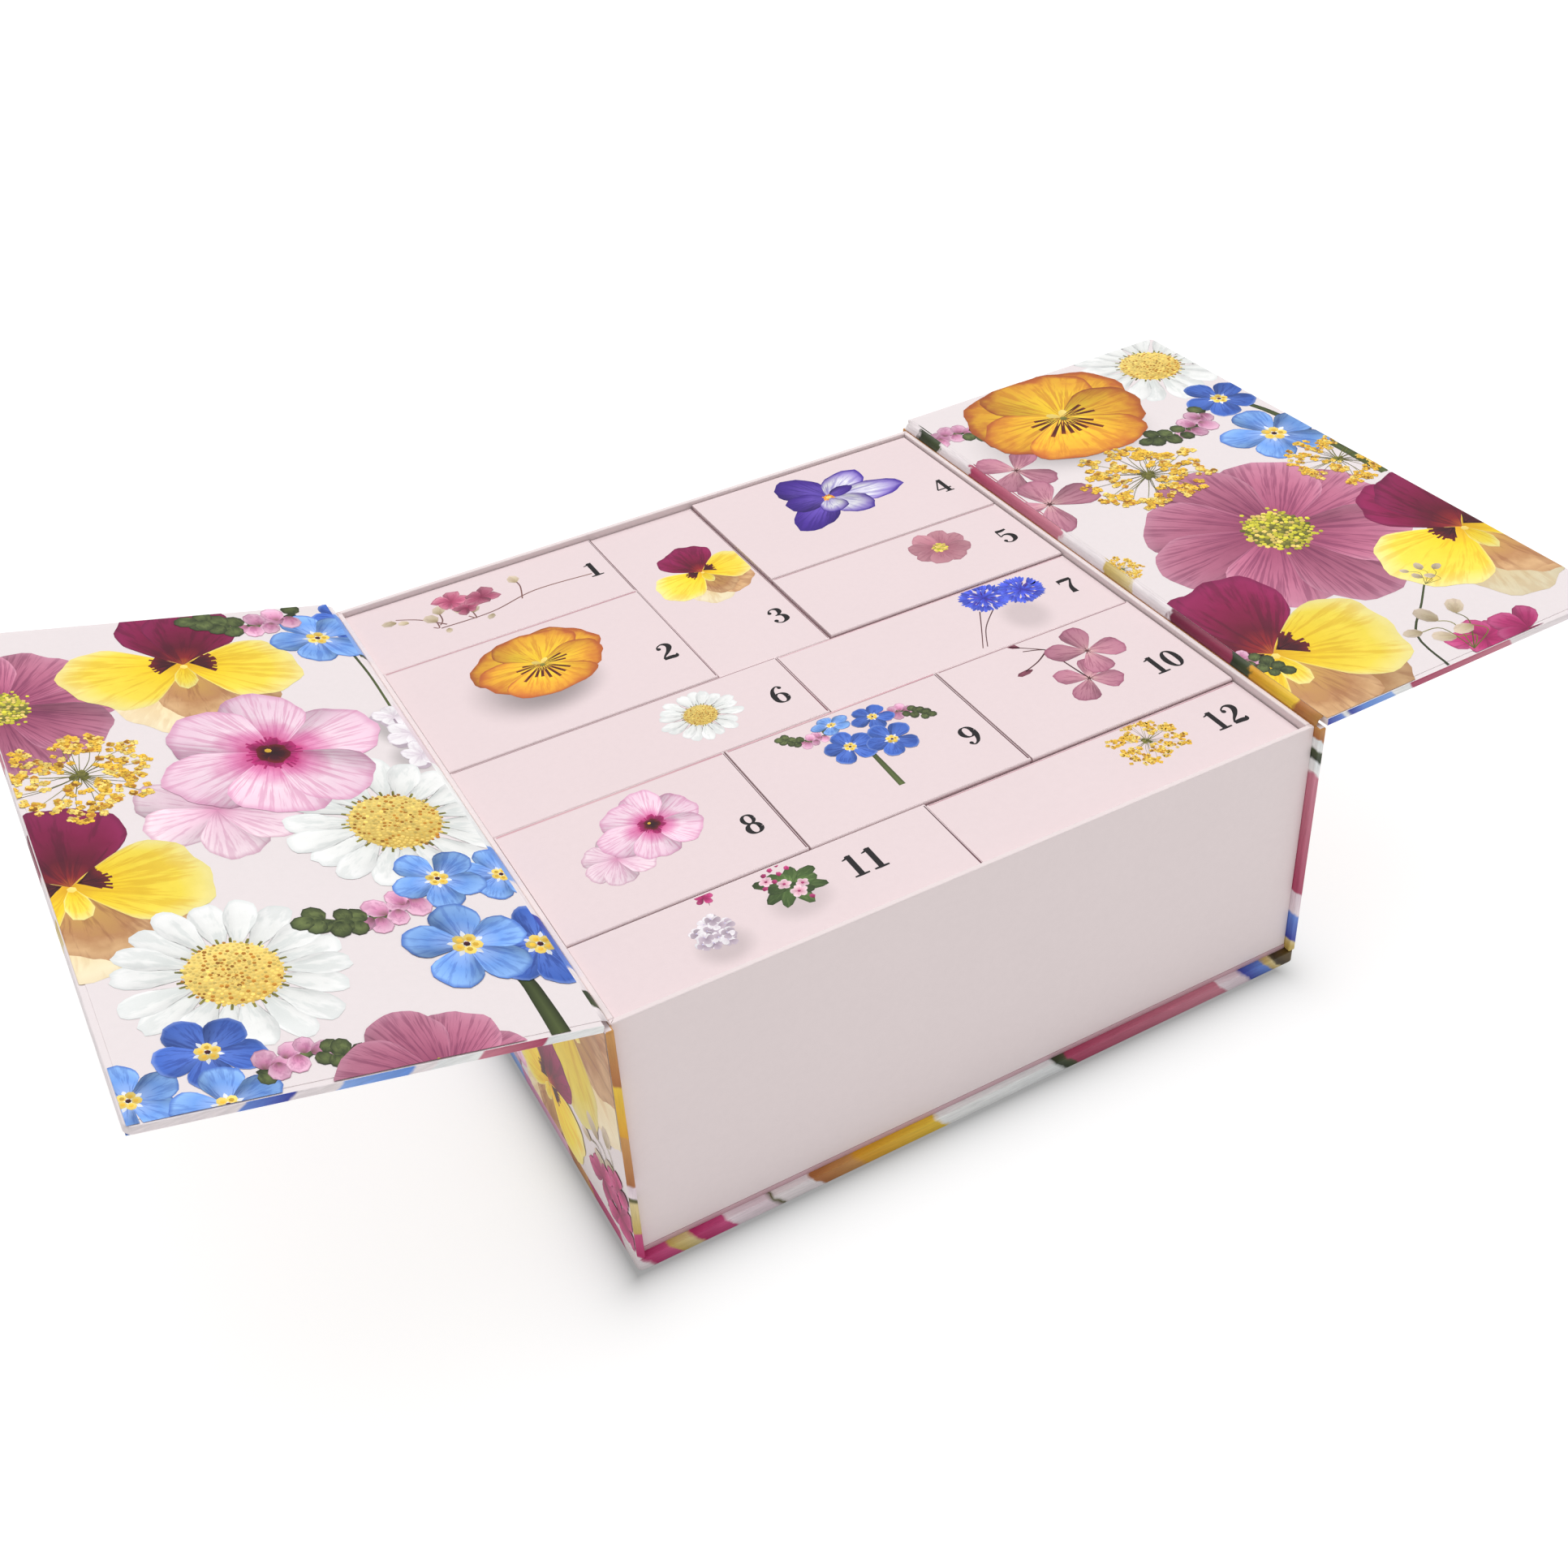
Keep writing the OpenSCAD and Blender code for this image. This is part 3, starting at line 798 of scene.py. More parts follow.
def drawApple(bloom):
    for index, (turn, reach) in enumerate((
            (150, 0.95), (205, 0.9), (330, 1.0), (20, 0.95), (285, 0.95), (120, 0.7), (355, 0.8),
            (240, 0.85), (60, 0.7), (180, 0.6), (310, 0.7), (90, 0.5))):
        bloom.petal("leaf", reach, 0.2, turn, layer=0.4 * index, belly=0.5, sweep=150, detail=(8, 4))
    for x, y, part in ((-0.45, 0.4, 0.2), (0.1, -0.35, 0.24), (0.32, -0.12, 0.18), (-0.1, 0.08, 0.2)):
        for index in range(5):
            bloom.petal("blush", part, 0.42 * part, 72 * index + 80 * x, (x, y), 5.4 + 0.3 * index,
                        detail=(6, 3))
        bloom.dot("magenta", x, y, 0.045, 7, 5)
    for x, y in ((-0.2, 0.75), (0.05, 0.85), (0.25, 0.6), (-0.05, 0.5), (-0.45, 0.65), (0.3, -0.7),
                 (-0.65, 0.2), (-0.3, 0.3)):
        bloom.petal("magenta", 0.18, 0.08, 80 + 60 * x, (x, y - 0.08), 7.4, belly=0.5, sweep=165,
                    detail=(5, 3))


def drawTiny(bloom):
    bloom.ring("magenta", 5, 1, 0.38, detail=(8, 3), loose=0.2)
    bloom.ribbon("twig", [(0, 0), (0.2, -0.7), (0.1, -1.3)], [0.1, 0.08, 0.06])


def drawBuds(bloom):                            # an arm of buds from pink at its foot to green at its tip
    path = [(0, 0), (0.4, 0.12), (0.75, 0.02), (1.0, -0.2)]
    bloom.ribbon("stem", path, [0.07, 0.06, 0.05, 0.03])
    for index in range(18):
        share = (index + 0.6) / 18
        side = (-1, 1, 0.2)[index % 3]
        ink = "budPink" if share < 0.52 and index % 5 else "budGreen"
        part = (0.27 if ink == "budPink" else 0.23) * bloom.draw.uniform(0.85, 1.1)
        bloom.petal(ink, part, 0.45 * part, side * bloom.draw.uniform(50, 100) - 12, pathPoint(path, share),
                    1 + 0.4 * index, belly=0.5, sweep=168, ruffle=0.01, detail=(8, 4))


def drawSprig(bloom):                           # a thin twig with beige buds and two small blooms
    bloom.ribbon("twig", [(-0.62, -0.3), (-0.1, -0.3), (0.4, -0.16), (1.0, -0.2)], [0.017] * 4, 0, 24)
    bloom.ribbon("twig", [(-0.55, -0.26), (-0.75, -0.02), (-0.95, 0.12)], [0.018, 0.016, 0.014], 0.2)
    for x, y, turn, part in ((-0.96, 0.1, 160, 0.13), (-0.86, 0.02, 140, 0.1), (-0.62, -0.12, 110, 0.16),
                             (-0.55, 0.0, 80, 0.15), (-0.26, -0.16, 60, 0.12), (-0.34, -0.1, 110, 0.12),
                             (0.3, 0.14, 95, 0.14), (-0.1, -0.3, 230, 0.09), (-0.56, -0.3, 260, 0.08)):
        bloom.petal("budBeige", 1.15 * part, 0.45 * part, turn, (x, y - 0.04), 2, belly=0.5, sweep=165,
                    detail=(6, 3))
    for x, y in ((0.3, 0.14), (-0.55, -0.02), (-0.26, -0.18), (-0.62, -0.14)):
        bloom.ribbon("twig", [(x, y), (x * 1.02, y - 0.14), (x - 0.06, -0.24)], [0.014] * 3, 0.4)
    for x, y, part in ((-0.38, 0.13, 0.2), (-0.1, 0.04, 0.2), (-0.28, -0.08, 0.13)):
        for index in range(5):
            bloom.petal("sprigPink", part * bloom.draw.uniform(0.7, 1.1), 0.42 * part,
                        72 * index + 200 * x, (x, y), 3 + 0.5 * index, ruffle=0.08, detail=(6, 4))


def drawBeads(bloom):                           # a loose handful of pale beige buds
    for x, y, turn, part in ((-0.6, -0.5, 110, 0.62), (-0.1, 0.1, 70, 0.7), (0.45, -0.2, 20, 0.66),
                             (0.1, -0.7, 150, 0.6), (-0.75, 0.3, 130, 0.5)):
        bloom.ribbon("olive", [(-0.9, -1), (0.5 * x, y - 0.4), (x, y)], [0.03] * 3)
        bloom.petal("budBeige", part, 0.36 * part, turn, (x, y), 1, belly=0.5, sweep=165, detail=(8, 4))


kinds = {
    "cosmos": drawCosmos, "cosmosSmall": drawCosmosSmall, "daisy": drawDaisy, "phlox": drawPhlox,
    "phloxPale": drawPhloxPale, "forget": drawForget, "forgetDark": drawForgetDark, "viola": drawViola,
    "pansy": drawPansy, "umbel": drawUmbel, "clarkia": drawClarkia, "crocus": drawCrocus,
    "corn": drawCorn, "hydrangea": drawHydrangea, "apple": drawApple, "tiny": drawTiny, "buds": drawBuds,
    "sprig": drawSprig, "beads": drawBeads, "snowFlower": drawSnowFlower,
}


def pour(source, target):                       # adds one bmesh to another
    carrier = bpy.data.meshes.new("carrier")
    source.to_mesh(carrier)
    source.free()
    target.from_mesh(carrier)
    bpy.data.meshes.remove(carrier)


class Sheet:                                    # everything that is printed on one flat face
    def __init__(self, name, corner, across, upward):
        self.name = name
        self.work = bmesh.new()
        self.work.loops.layers.uv.new("Petal")
        self.work.verts.layers.float.new("tone")
        self.laid = []
        self.count = 0
        outward = across.cross(upward)
        self.place = Matrix((across, upward, outward)).transposed().to_4x4()
        self.place.translation = corner

    def bloomAt(self, size=1.0):                # a new drawing with its own seed
        self.count += 1
        return Bloom(self.name + str(self.count), size)

    def join(self, bloom, x, y, turn, reach, squash=1.0):
        level = 0
        for otherX, otherY, otherReach, otherLevel in self.laid:
            if math.hypot(x - otherX, y - otherY) < reach + otherReach:
                level = max(level, otherLevel + 1)
        self.laid.append((x, y, reach, level))
        for face in bloom.work.faces:
            face.normal_update()
            if face.normal.z < 0:
                face.normal_flip()
        bloom.work.transform(Matrix.Translation((x, y, film["lift"] + level * film["bloomStep"]))
                             @ Matrix.Diagonal((1, squash, 1, 1))
                             @ Matrix.Rotation(math.radians(turn), 4, "Z"))
        pour(bloom.work, self.work)

    def bloom(self, kind, x, y, size, turn=0.0, squash=1.0):
        drawn = self.bloomAt(size)
        kinds[kind](drawn)
        self.join(drawn, x, y, turn, size, squash)

    def line(self, ink, points, widths, reach):
        middle = [sum(place) / len(points) for place in zip(*points)]
        drawn = self.bloomAt()
        drawn.ribbon(ink, [(x - middle[0], y - middle[1]) for x, y in points], widths)
        self.join(drawn, *middle, 0, reach)

    def trim(self, low, high):                  # cuts the printing off at the edges of its paper
        for corner, outward in ((low, (-1, 0, 0)), (low, (0, -1, 0)), (high, (1, 0, 0)), (high, (0, 1, 0))):
            bmesh.ops.bisect_plane(
                self.work, geom=self.work.verts[:] + self.work.edges[:] + self.work.faces[:],
                dist=1e-6, plane_co=(corner[0], corner[1], 0), plane_no=outward, clear_outer=True)

    def finish(self, body, slotName="lining_paper"):
        self.work.transform(self.place)
        self.work.transform(Matrix.Scale(mm, 4))
        used = sorted({face.material_index for face in self.work.faces})
        for face in self.work.faces:
            face.material_index = used.index(face.material_index)
        finishes = list(inks.values())
        return addPiece(self.name, self.work, body, [finishes[index] for index in used])


def addPiece(name, work, body, finishes, replaced=()):
    mesh = bpy.data.meshes.new(name)
    work.to_mesh(mesh)
    work.free()
    for finish in finishes:
        mesh.materials.append(finish.material)
    piece = bpy.data.objects.new(name, mesh)
    bpy.context.scene.collection.objects.link(piece)
    if body:
        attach(piece, body)
    if replaced:
        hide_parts(*replaced)
    return piece


def roundEdges(work, edges, offset, segments):
    bmesh.ops.bevel(work, geom=list(edges), offset=offset, offset_type="OFFSET", segments=segments,
                    profile=0.5, affect="EDGES", clamp_overlap=True, material=-1)


def block(lowCorner, highCorner):               # a box in mm
    work = bmesh.new()
    bmesh.ops.create_cube(work, size=1.0)
    size = Vector(highCorner) - Vector(lowCorner)
    middle = (Vector(highCorner) + Vector(lowCorner)) / 2
    work.transform(Matrix.Translation(middle) @ Matrix.Diagonal((*size, 1)))
    return work


def upright(work):
    return [edge for edge in work.edges
            if abs(edge.verts[0].co.z - edge.verts[1].co.z) > 0.5 * edge.calc_length()]


def level(work):
    return [edge for edge in work.edges if len({round(vert.co.z, 3) for vert in edge.verts}) == 1]


def lying(parts, **at):                         # the edges or faces whose corners are all at y or z
    return [part for part in parts
            if all(abs(getattr(vert.co, axis) - value) < 1e-4
                   for vert in part.verts for axis, value in at.items())]


boards = {"edgeRound": 0.55, "baseRound": 0.4, "baseCorner": 2.0, "wallRound": 0.45, "doorRound": 0.45,
          "segments": 4}


def addBoard(node, body, offset, ways, cornerRound=0.0):
    work = block(low(node), high(node))
    if cornerRound:
        roundEdges(work, upright(work), cornerRound, 5)
    roundEdges(work, level(work) if cornerRound else work.edges, offset, boards["segments"])
    finishes = wrapFaces(work, [(Vector(way), finish) for way, finish in ways])
    work.transform(Matrix.Scale(mm, 4))
    return addPiece(node + "_board", work, body, finishes, [node])


addBoard("base_board", "case", boards["baseRound"], [
    ((0, 0, -0.5), wrapPaper), ((0, -1, 0), wrapBands["base_front"]), ((0, 0, 1), wrapBands["base_front"]),
    ((-1, 0, 0), wrapBands["base_left"]), ((1, 0, 0), wrapBands["base_right"]),
    ((0, 1, 0), wrapBands["base_back"])], boards["baseCorner"])
for side, word in sides:
    edgePaper = wrapBands["side_" + word]
    addBoard("side_board_" + word, "case", boards["edgeRound"], [
        ((0.5 * side, 0, 0), wrapPaper), ((-side, 0, 0), edgePaper), ((0, -1, 0), edgePaper),
        ((0, 1, 0), edgePaper)])
for node in ("tray_front", "tray_back", "tray_left", "tray_right"):
    addBoard(node, "case", boards["wallRound"], [((0, 0, 1), trayPaper)])


def doorPlace(side):                            # from a door lying flat to the right, to its own place
    lift = math.radians(case["raise"][side])
    turned = Matrix.Translation((hingeX, 0, hingeZ)) @ Matrix.Rotation(-lift, 4, "Y")
    return Matrix.Diagonal((side, 1, 1, 1)) @ turned


def addDoor(side, word):
    half = case["boardThick"] / 2
    work = block((case["hingeGap"], -halfDeep, -half), (case["hingeGap"] + doorWide, halfDeep, half))
    outer = [edge for edge in upright(work) if edge.verts[0].co.x > doorWide / 2]
    roundEdges(work, outer, case["cornerRound"], 6)
    roundEdges(work, level(work), boards["doorRound"], boards["segments"])
    work.transform(doorPlace(side))
    bmesh.ops.recalc_face_normals(work, faces=work.faces[:])
    out, upward = doorWays(side)
    finishes = wrapFaces(work, [
        (0.5 * upward, wrapPaper), (-0.5 * upward, wrapPaper), (-out, wrapPaper),
        (Vector((0, -1, 0)), wrapBands["door_" + word]), (Vector((0, 1, 0)), wrapBands["door_" + word]),
        (out, wrapBands["door_end_" + word])])
    work.transform(Matrix.Scale(mm, 4))
    addPiece(f"door_{word}_board", work, f"door_{word}", finishes, [f"door_{word}"])


hingeBand = {                                   # the strip of paper between case and door, in mm
    "inset": 0.2,                               # its lower end from the side board's inner face
    "drop": 0.5,                                # its lower end under the door
    "reach": 1.2,                               # its upper end from the hinge, over the door
    "above": 0.06,                              # its upper end over the door's lining
    "bend": (0.1, -0.2),                        # from its two ends to its corner
    "thick": 0.15,
    "grid": (14, 40),
}


def addHingePaper(side, word):
    lift = math.radians(case["raise"][side])
    half = case["boardThick"] / 2
    over = half + case["linerThick"]
    start = Vector((hingeBand["inset"] - case["boardThick"], -half - hingeBand["drop"]))
    end = Vector((hingeBand["reach"] - half * math.sin(lift), over * math.cos(lift) + hingeBand["above"]))
    middle = Vector((start.x, end.y)) + Vector(hingeBand["bend"])
    deep = halfDeep - case["linerMargin"]
    work = bmesh.new()
    across, deepwise = hingeBand["grid"]
    bmesh.ops.create_grid(work, x_segments=across, y_segments=deepwise, size=0.5)
    for vert in work.verts:
        t = vert.co.x + 0.5
        at = start * (1 - t) ** 2 + middle * (2 * t * (1 - t)) + end * t * t
        vert.co = (side * (hingeX + at.x), vert.co.y * 2 * deep, hingeZ + at.y)
    bmesh.ops.recalc_face_normals(work, faces=work.faces[:])
    for face in work.faces:
        face.smooth = True
    if sum(face.normal.z for face in work.faces) < 0:
        bmesh.ops.reverse_faces(work, faces=work.faces[:])
    work.transform(Matrix.Scale(mm, 4))
    piece = addPiece(f"hinge_band_{word}", work, None, [wrapBands["hinge_" + word]],
                     [f"hinge_paper_{word}"])
    thicken = piece.modifiers.new("thickness", "SOLIDIFY")
    thicken.thickness = hingeBand["thick"] * mm
    thicken.offset = -1
    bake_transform(piece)


for side, word in sides:
    addDoor(side, word)
for side, word in sides:
    addHingePaper(side, word)
print("stage: case, doors and hinges made")

carton = {
    "card": 0.8,
    "overhang": 0.2,                            # how far a lid's folds swell past its front and back
    "foldRound": 0.7,                           # the rounding of the fold at the front of a lid
    "creaseRound": 0.4,                         # the rounding of the crease at the back of a lid
    "cornerRound": 0.5,
    "tuck": 10.0,
    "tuckRound": 4.0,
    "tuckLean": 2.2,
    "tuckGap": 0.4,
}
printShadows = {                                # carton number: printed shadows x, y, reach x, reach y, depth
    2: [(-82, 42, 29, 25, 0.42), (-77, 37, 24, 17, 0.25)],
    7: [(92, -16, 12, 14, 0.2)],
    11: [(-86, -114, 12, 10, 0.24), (-57, -108, 14, 11, 0.2)],
}


def addCarton(number):
    node = f"carton_{number}"
    work = block(low(node), high(node))
    roundEdges(work, upright(work), carton["cornerRound"], 3)
    roundEdges(work, lying(work.edges, z=low(node).z), carton["creaseRound"], 3)
    bmesh.ops.delete(work, geom=lying(work.faces, z=high(node).z), context="FACES_ONLY")
    work.transform(Matrix.Scale(mm, 4))
    piece = addPiece(f"carton_{number}_body", work, f"carton_{number}", [cartonSide, cardInside], [node])
    thicken = piece.modifiers.new("thickness", "SOLIDIFY")
    thicken.thickness = carton["card"] * mm
    thicken.offset = -1
    thicken.use_even_offset = True
    thicken.material_offset = 1
    thicken.material_offset_rim = 1


def addLid(number):
    node = f"carton_lid_{number}"
    lowest, highest = low(node), high(node)
    thick = carton["card"]
    reach = carton["overhang"]
    work = block((lowest.x, lowest.y - reach, highest.z - thick), (highest.x, highest.y + reach, highest.z))
    roundEdges(work, lying(work.edges, y=lowest.y - reach, z=highest.z), carton["foldRound"], 4)
    roundEdges(work, lying(work.edges, y=highest.y + reach, z=highest.z), carton["creaseRound"], 3)
    inset = thick + carton["tuckGap"]
    flapY = lowest.y + inset
    flap = block((lowest.x + inset, flapY, highest.z - thick - carton["tuck"]),
                 (highest.x - inset, flapY + thick, highest.z - thick / 2))
    below = [edge for edge in flap.edges
             if abs(edge.verts[0].co.y - edge.verts[1].co.y) > 0.1
             and edge.verts[0].co.z < highest.z - thick - 1]
    roundEdges(flap, below, carton["tuckRound"], 5)
    for vert in flap.verts:
        drop = highest.z - thick - vert.co.z
        vert.co.y += carton["tuckLean"] * max(0.0, drop) / carton["tuck"]
    pour(flap, work)
    work.normal_update()
    for face in work.faces:
        if face.normal.z < -0.5:
            face.material_index = 1
    work.transform(Matrix.Scale(mm, 4))
    addPiece(f"carton_{number}_lid", work, f"carton_lid_{number}", [cartonPapers[number], cardInside],
             [node])


cartonPapers = {}
for number in range(1, 13):
    cartonPapers[number] = paper(f"carton_card_{number}", paperLook["card"], 0.46,
                                 printShadows.get(number, ()))
    addCarton(number)
    addLid(number)
print("stage: cartons made")


def ringPath(x, y, wide, tall, steps=12):
    turns = [math.radians(360 * k / steps) for k in range(steps + 1)]
    return [(x + wide * math.cos(turn), y + tall * math.sin(turn)) for turn in turns]


def ringWidths(thin, thick, steps=12):
    return [thin + (thick - thin) * abs(math.cos(math.radians(360 * k / steps))) ** 1.6
            for k in range(steps + 1)]


figures = {                                     # strokes as points and widths, then round ends
    "0": ([(ringPath(0.31, 0.5, 0.21, 0.455), ringWidths(0.05, 0.17))], []),
    "1": ([([(0.31, 0.02), (0.31, 0.5), (0.31, 0.98)], [0.16, 0.16, 0.16]),
           ([(0.09, 0.84), (0.2, 0.87), (0.33, 0.95)], [0.035, 0.06, 0.1]),
           ([(0.08, 0.03), (0.31, 0.03), (0.54, 0.03)], [0.05, 0.075, 0.05])], []),
    "2": ([([(0.13, 0.7), (0.14, 0.85), (0.31, 0.955), (0.47, 0.86), (0.49, 0.68), (0.36, 0.45),
             (0.18, 0.26), (0.08, 0.1)], [0.1, 0.05, 0.06, 0.15, 0.17, 0.12, 0.07, 0.05]),
           ([(0.07, 0.08), (0.3, 0.085), (0.5, 0.075), (0.56, 0.2)], [0.12, 0.16, 0.15, 0.03])],
          [(0.15, 0.73, 0.075)]),
    "3": ([([(0.12, 0.74), (0.16, 0.9), (0.31, 0.955), (0.45, 0.87), (0.46, 0.7), (0.36, 0.56),
             (0.24, 0.53)], [0.1, 0.05, 0.06, 0.14, 0.15, 0.07, 0.04]),
           ([(0.24, 0.53), (0.4, 0.5), (0.5, 0.38), (0.5, 0.2), (0.38, 0.07), (0.24, 0.035), (0.12, 0.12),
             (0.1, 0.24)], [0.04, 0.07, 0.15, 0.17, 0.09, 0.05, 0.05, 0.1])],
          [(0.13, 0.76, 0.07), (0.12, 0.22, 0.075)]),
    "4": ([([(0.4, 0.96), (0.22, 0.62), (0.04, 0.27)], [0.06, 0.05, 0.05]),
           ([(0.03, 0.265), (0.3, 0.265), (0.6, 0.265)], [0.065, 0.065, 0.065]),
           ([(0.43, 0.02), (0.43, 0.5), (0.43, 0.97)], [0.15, 0.15, 0.15]),
           ([(0.24, 0.025), (0.43, 0.025), (0.6, 0.025)], [0.05, 0.06, 0.05])], []),
    "5": ([([(0.13, 0.9), (0.32, 0.88), (0.52, 0.92)], [0.14, 0.13, 0.08]),
           ([(0.14, 0.94), (0.13, 0.7), (0.12, 0.5)], [0.05, 0.045, 0.045]),
           ([(0.12, 0.5), (0.26, 0.585), (0.42, 0.55), (0.52, 0.4), (0.5, 0.2), (0.38, 0.07), (0.24, 0.035),
             (0.12, 0.11), (0.1, 0.22)], [0.04, 0.06, 0.12, 0.17, 0.17, 0.09, 0.05, 0.05, 0.09])],
          [(0.12, 0.2, 0.07)]),
    "6": ([(ringPath(0.32, 0.3, 0.19, 0.26), ringWidths(0.045, 0.15)),
           ([(0.13, 0.3), (0.14, 0.55), (0.24, 0.82), (0.4, 0.95), (0.5, 0.88)],
            [0.16, 0.15, 0.1, 0.05, 0.07])], [(0.49, 0.84, 0.065)]),
    "7": ([([(0.05, 0.88), (0.3, 0.89), (0.56, 0.88)], [0.14, 0.15, 0.13]),
           ([(0.07, 0.96), (0.065, 0.82), (0.05, 0.7)], [0.05, 0.045, 0.03]),
           ([(0.55, 0.86), (0.4, 0.6), (0.29, 0.35), (0.26, 0.03)], [0.06, 0.08, 0.14, 0.2])], []),
    "8": ([(ringPath(0.31, 0.735, 0.16, 0.215), ringWidths(0.05, 0.12)),
           (ringPath(0.31, 0.27, 0.19, 0.235), ringWidths(0.05, 0.15))], []),
    "9": ([(ringPath(0.3, 0.7, 0.19, 0.26), ringWidths(0.045, 0.15)),
           ([(0.49, 0.7), (0.48, 0.45), (0.38, 0.18), (0.22, 0.05), (0.12, 0.12)],
            [0.16, 0.15, 0.1, 0.05, 0.07])], [(0.13, 0.16, 0.065)]),
}


figureLook = {"tall": 10.6, "wide": 1.08, "pitch": 0.62, "strokeWidth": 1.2, "endSize": 1.1}


def addFigures(sheet, text, x, y):
    for index, character in enumerate(text):
        drawn = Bloom("figure" + text, figureLook["tall"])
        strokes, ends = figures[character]
        left = (index - len(text) / 2) * figureLook["pitch"] * figureLook["wide"]
        for layer, (points, widths) in enumerate(strokes):
            drawn.ribbon("figure", [(left + px * figureLook["wide"], py - 0.5) for px, py in points],
                         [width * figureLook["strokeWidth"] for width in widths], layer * 0.5,
                         6 * (len(points) - 1))
        for px, py, radius in ends:
            drawn.dot("figure", left + px * figureLook["wide"], py - 0.5, radius * figureLook["endSize"],
                      2.5, 16)
        sheet.join(drawn, x, y, 0, 1.0)


# on the lids: kind, x, y, size, turn and squash of each bloom, then the place of the number,
# in mm from the tray's back left corner
lidPrints = {
    1: ([("sprig", 55.5, -22.5, 40, 0, 0.9)], (97.2, -27.0)),
    2: ([("pansy", 54.0, -76.5, 26.5, 0, 0.86)], (96.3, -94.5)),
    3: ([("viola", 132.5, -53.0, 22.0, 8, 0.96)], (142.5, -96.5)),
    4: ([("crocus", 203.0, -31.0, 30.0, 0, 0.86)], (246.5, -49.0)),
    5: ([("cosmosSmall", 219.5, -89.5, 13.0, 20, 0.95)], (246.0, -96.5)),
    6: ([("daisy", 89.1, -136.6, 15.0, 0, 0.97)], (118.1, -141.0)),
    7: ([("corn", 213.5, -129.0, 10.5, 0, 1.0), ("corn", 228.5, -132.0, 10.0, 30, 1.0)], (245.5, -139.5)),
    8: ([("phloxPale", 31.5, -190.5, 12.5, 60, 1.0), ("phlox", 48.5, -181.0, 18.5, 0, 1.0)], (76.1, -198.0)),
    9: ([("buds", 121.0, -170.0, 15, 170, 1.0), ("buds", 140.0, -172.0, 17, -14, 1.0),
         ("forget", 124.5, -166.5, 7.5, 10, 0.7), ("forgetDark", 139.0, -170.0, 8.0, 30, 0.9),
         ("forgetDark", 123.8, -180.5, 9.5, 0, 1.0), ("forgetDark", 138.0, -184.5, 9.5, 15, 1.0)],
        (161.6, -197.0)),
    10: ([("clarkia", 215.0, -192.0, 13.5, 10, 1.0), ("clarkia", 224.5, -178.0, 14.5, 40, 1.0)],
         (242.9, -198.0)),
    11: ([("tiny", 46.4, -221.5, 3.0, 0, 1.0), ("hydrangea", 42.3, -236.5, 8.6, 0, 1.0),
          ("apple", 72.1, -230.0, 12.5, 0, 0.95)], (97.5, -233.0)),
    12: ([("umbel", 209.5, -231.5, 14.2, 0, 0.98)], (239.6, -235.0)),
}
lidStems = {                                    # ink, points and widths of each stem
    7: [("darkStem", ((207.0, -136.0), (201.0, -146.0), (194.5, -156.5)), [0.45, 0.4, 0.35]),
        ("darkStem", ((212.0, -137.5), (203.0, -146.0), (196.5, -156.5)), [0.45, 0.4, 0.35])],
    9: [("stem", ((128.5, -178), (128.3, -192), (128.0, -207)), [1.4, 2.0, 2.4])],
    10: [("darkStem", ((215.0, -192.0), (213.5, -178.0), (213.0, -170.0), (205.0, -166.0)),
          [0.7, 0.55, 0.5, 0.5]),
         ("darkStem", ((224.5, -178.0), (216.0, -174.0), (212.0, -169.0), (202.5, -161.0)),
          [0.7, 0.55, 0.5, 0.5]),
         ("darkStem", ((212.5, -170.0), (206.0, -174.0), (199.0, -176.5)), [0.7, 0.55, 0.5])],
}
lidBuds = {10: ((205.5, -163.5, 130), (201.5, -177.0, 185))}    # place and turn of each bud on a stem
seen = {"across": 0.63, "back": 1.34}           # mm that printing moves for each mm of its lid below the rim
seamShades = {                                       # how wide the painted shade is along a lid's back and its right side, for the joints between cartons
    1: (0, 0.3), 2: (0.7, 0.35), 3: (0, 0.25), 5: (0.35, 0), 6: (0.3, 0.55), 7: (0.3, 0), 8: (0.8, 0.4),
    9: (0.6, 0.5), 10: (0.45, 0), 11: (0, 0.6), 12: (0.45, 0),
}
lidEdge = 0.7                                   # mm from a lid's edge to its printing
seamShadeEdge = {"back": 0.25, "right": 0.2}         # mm from a lid's edge to its painted shade
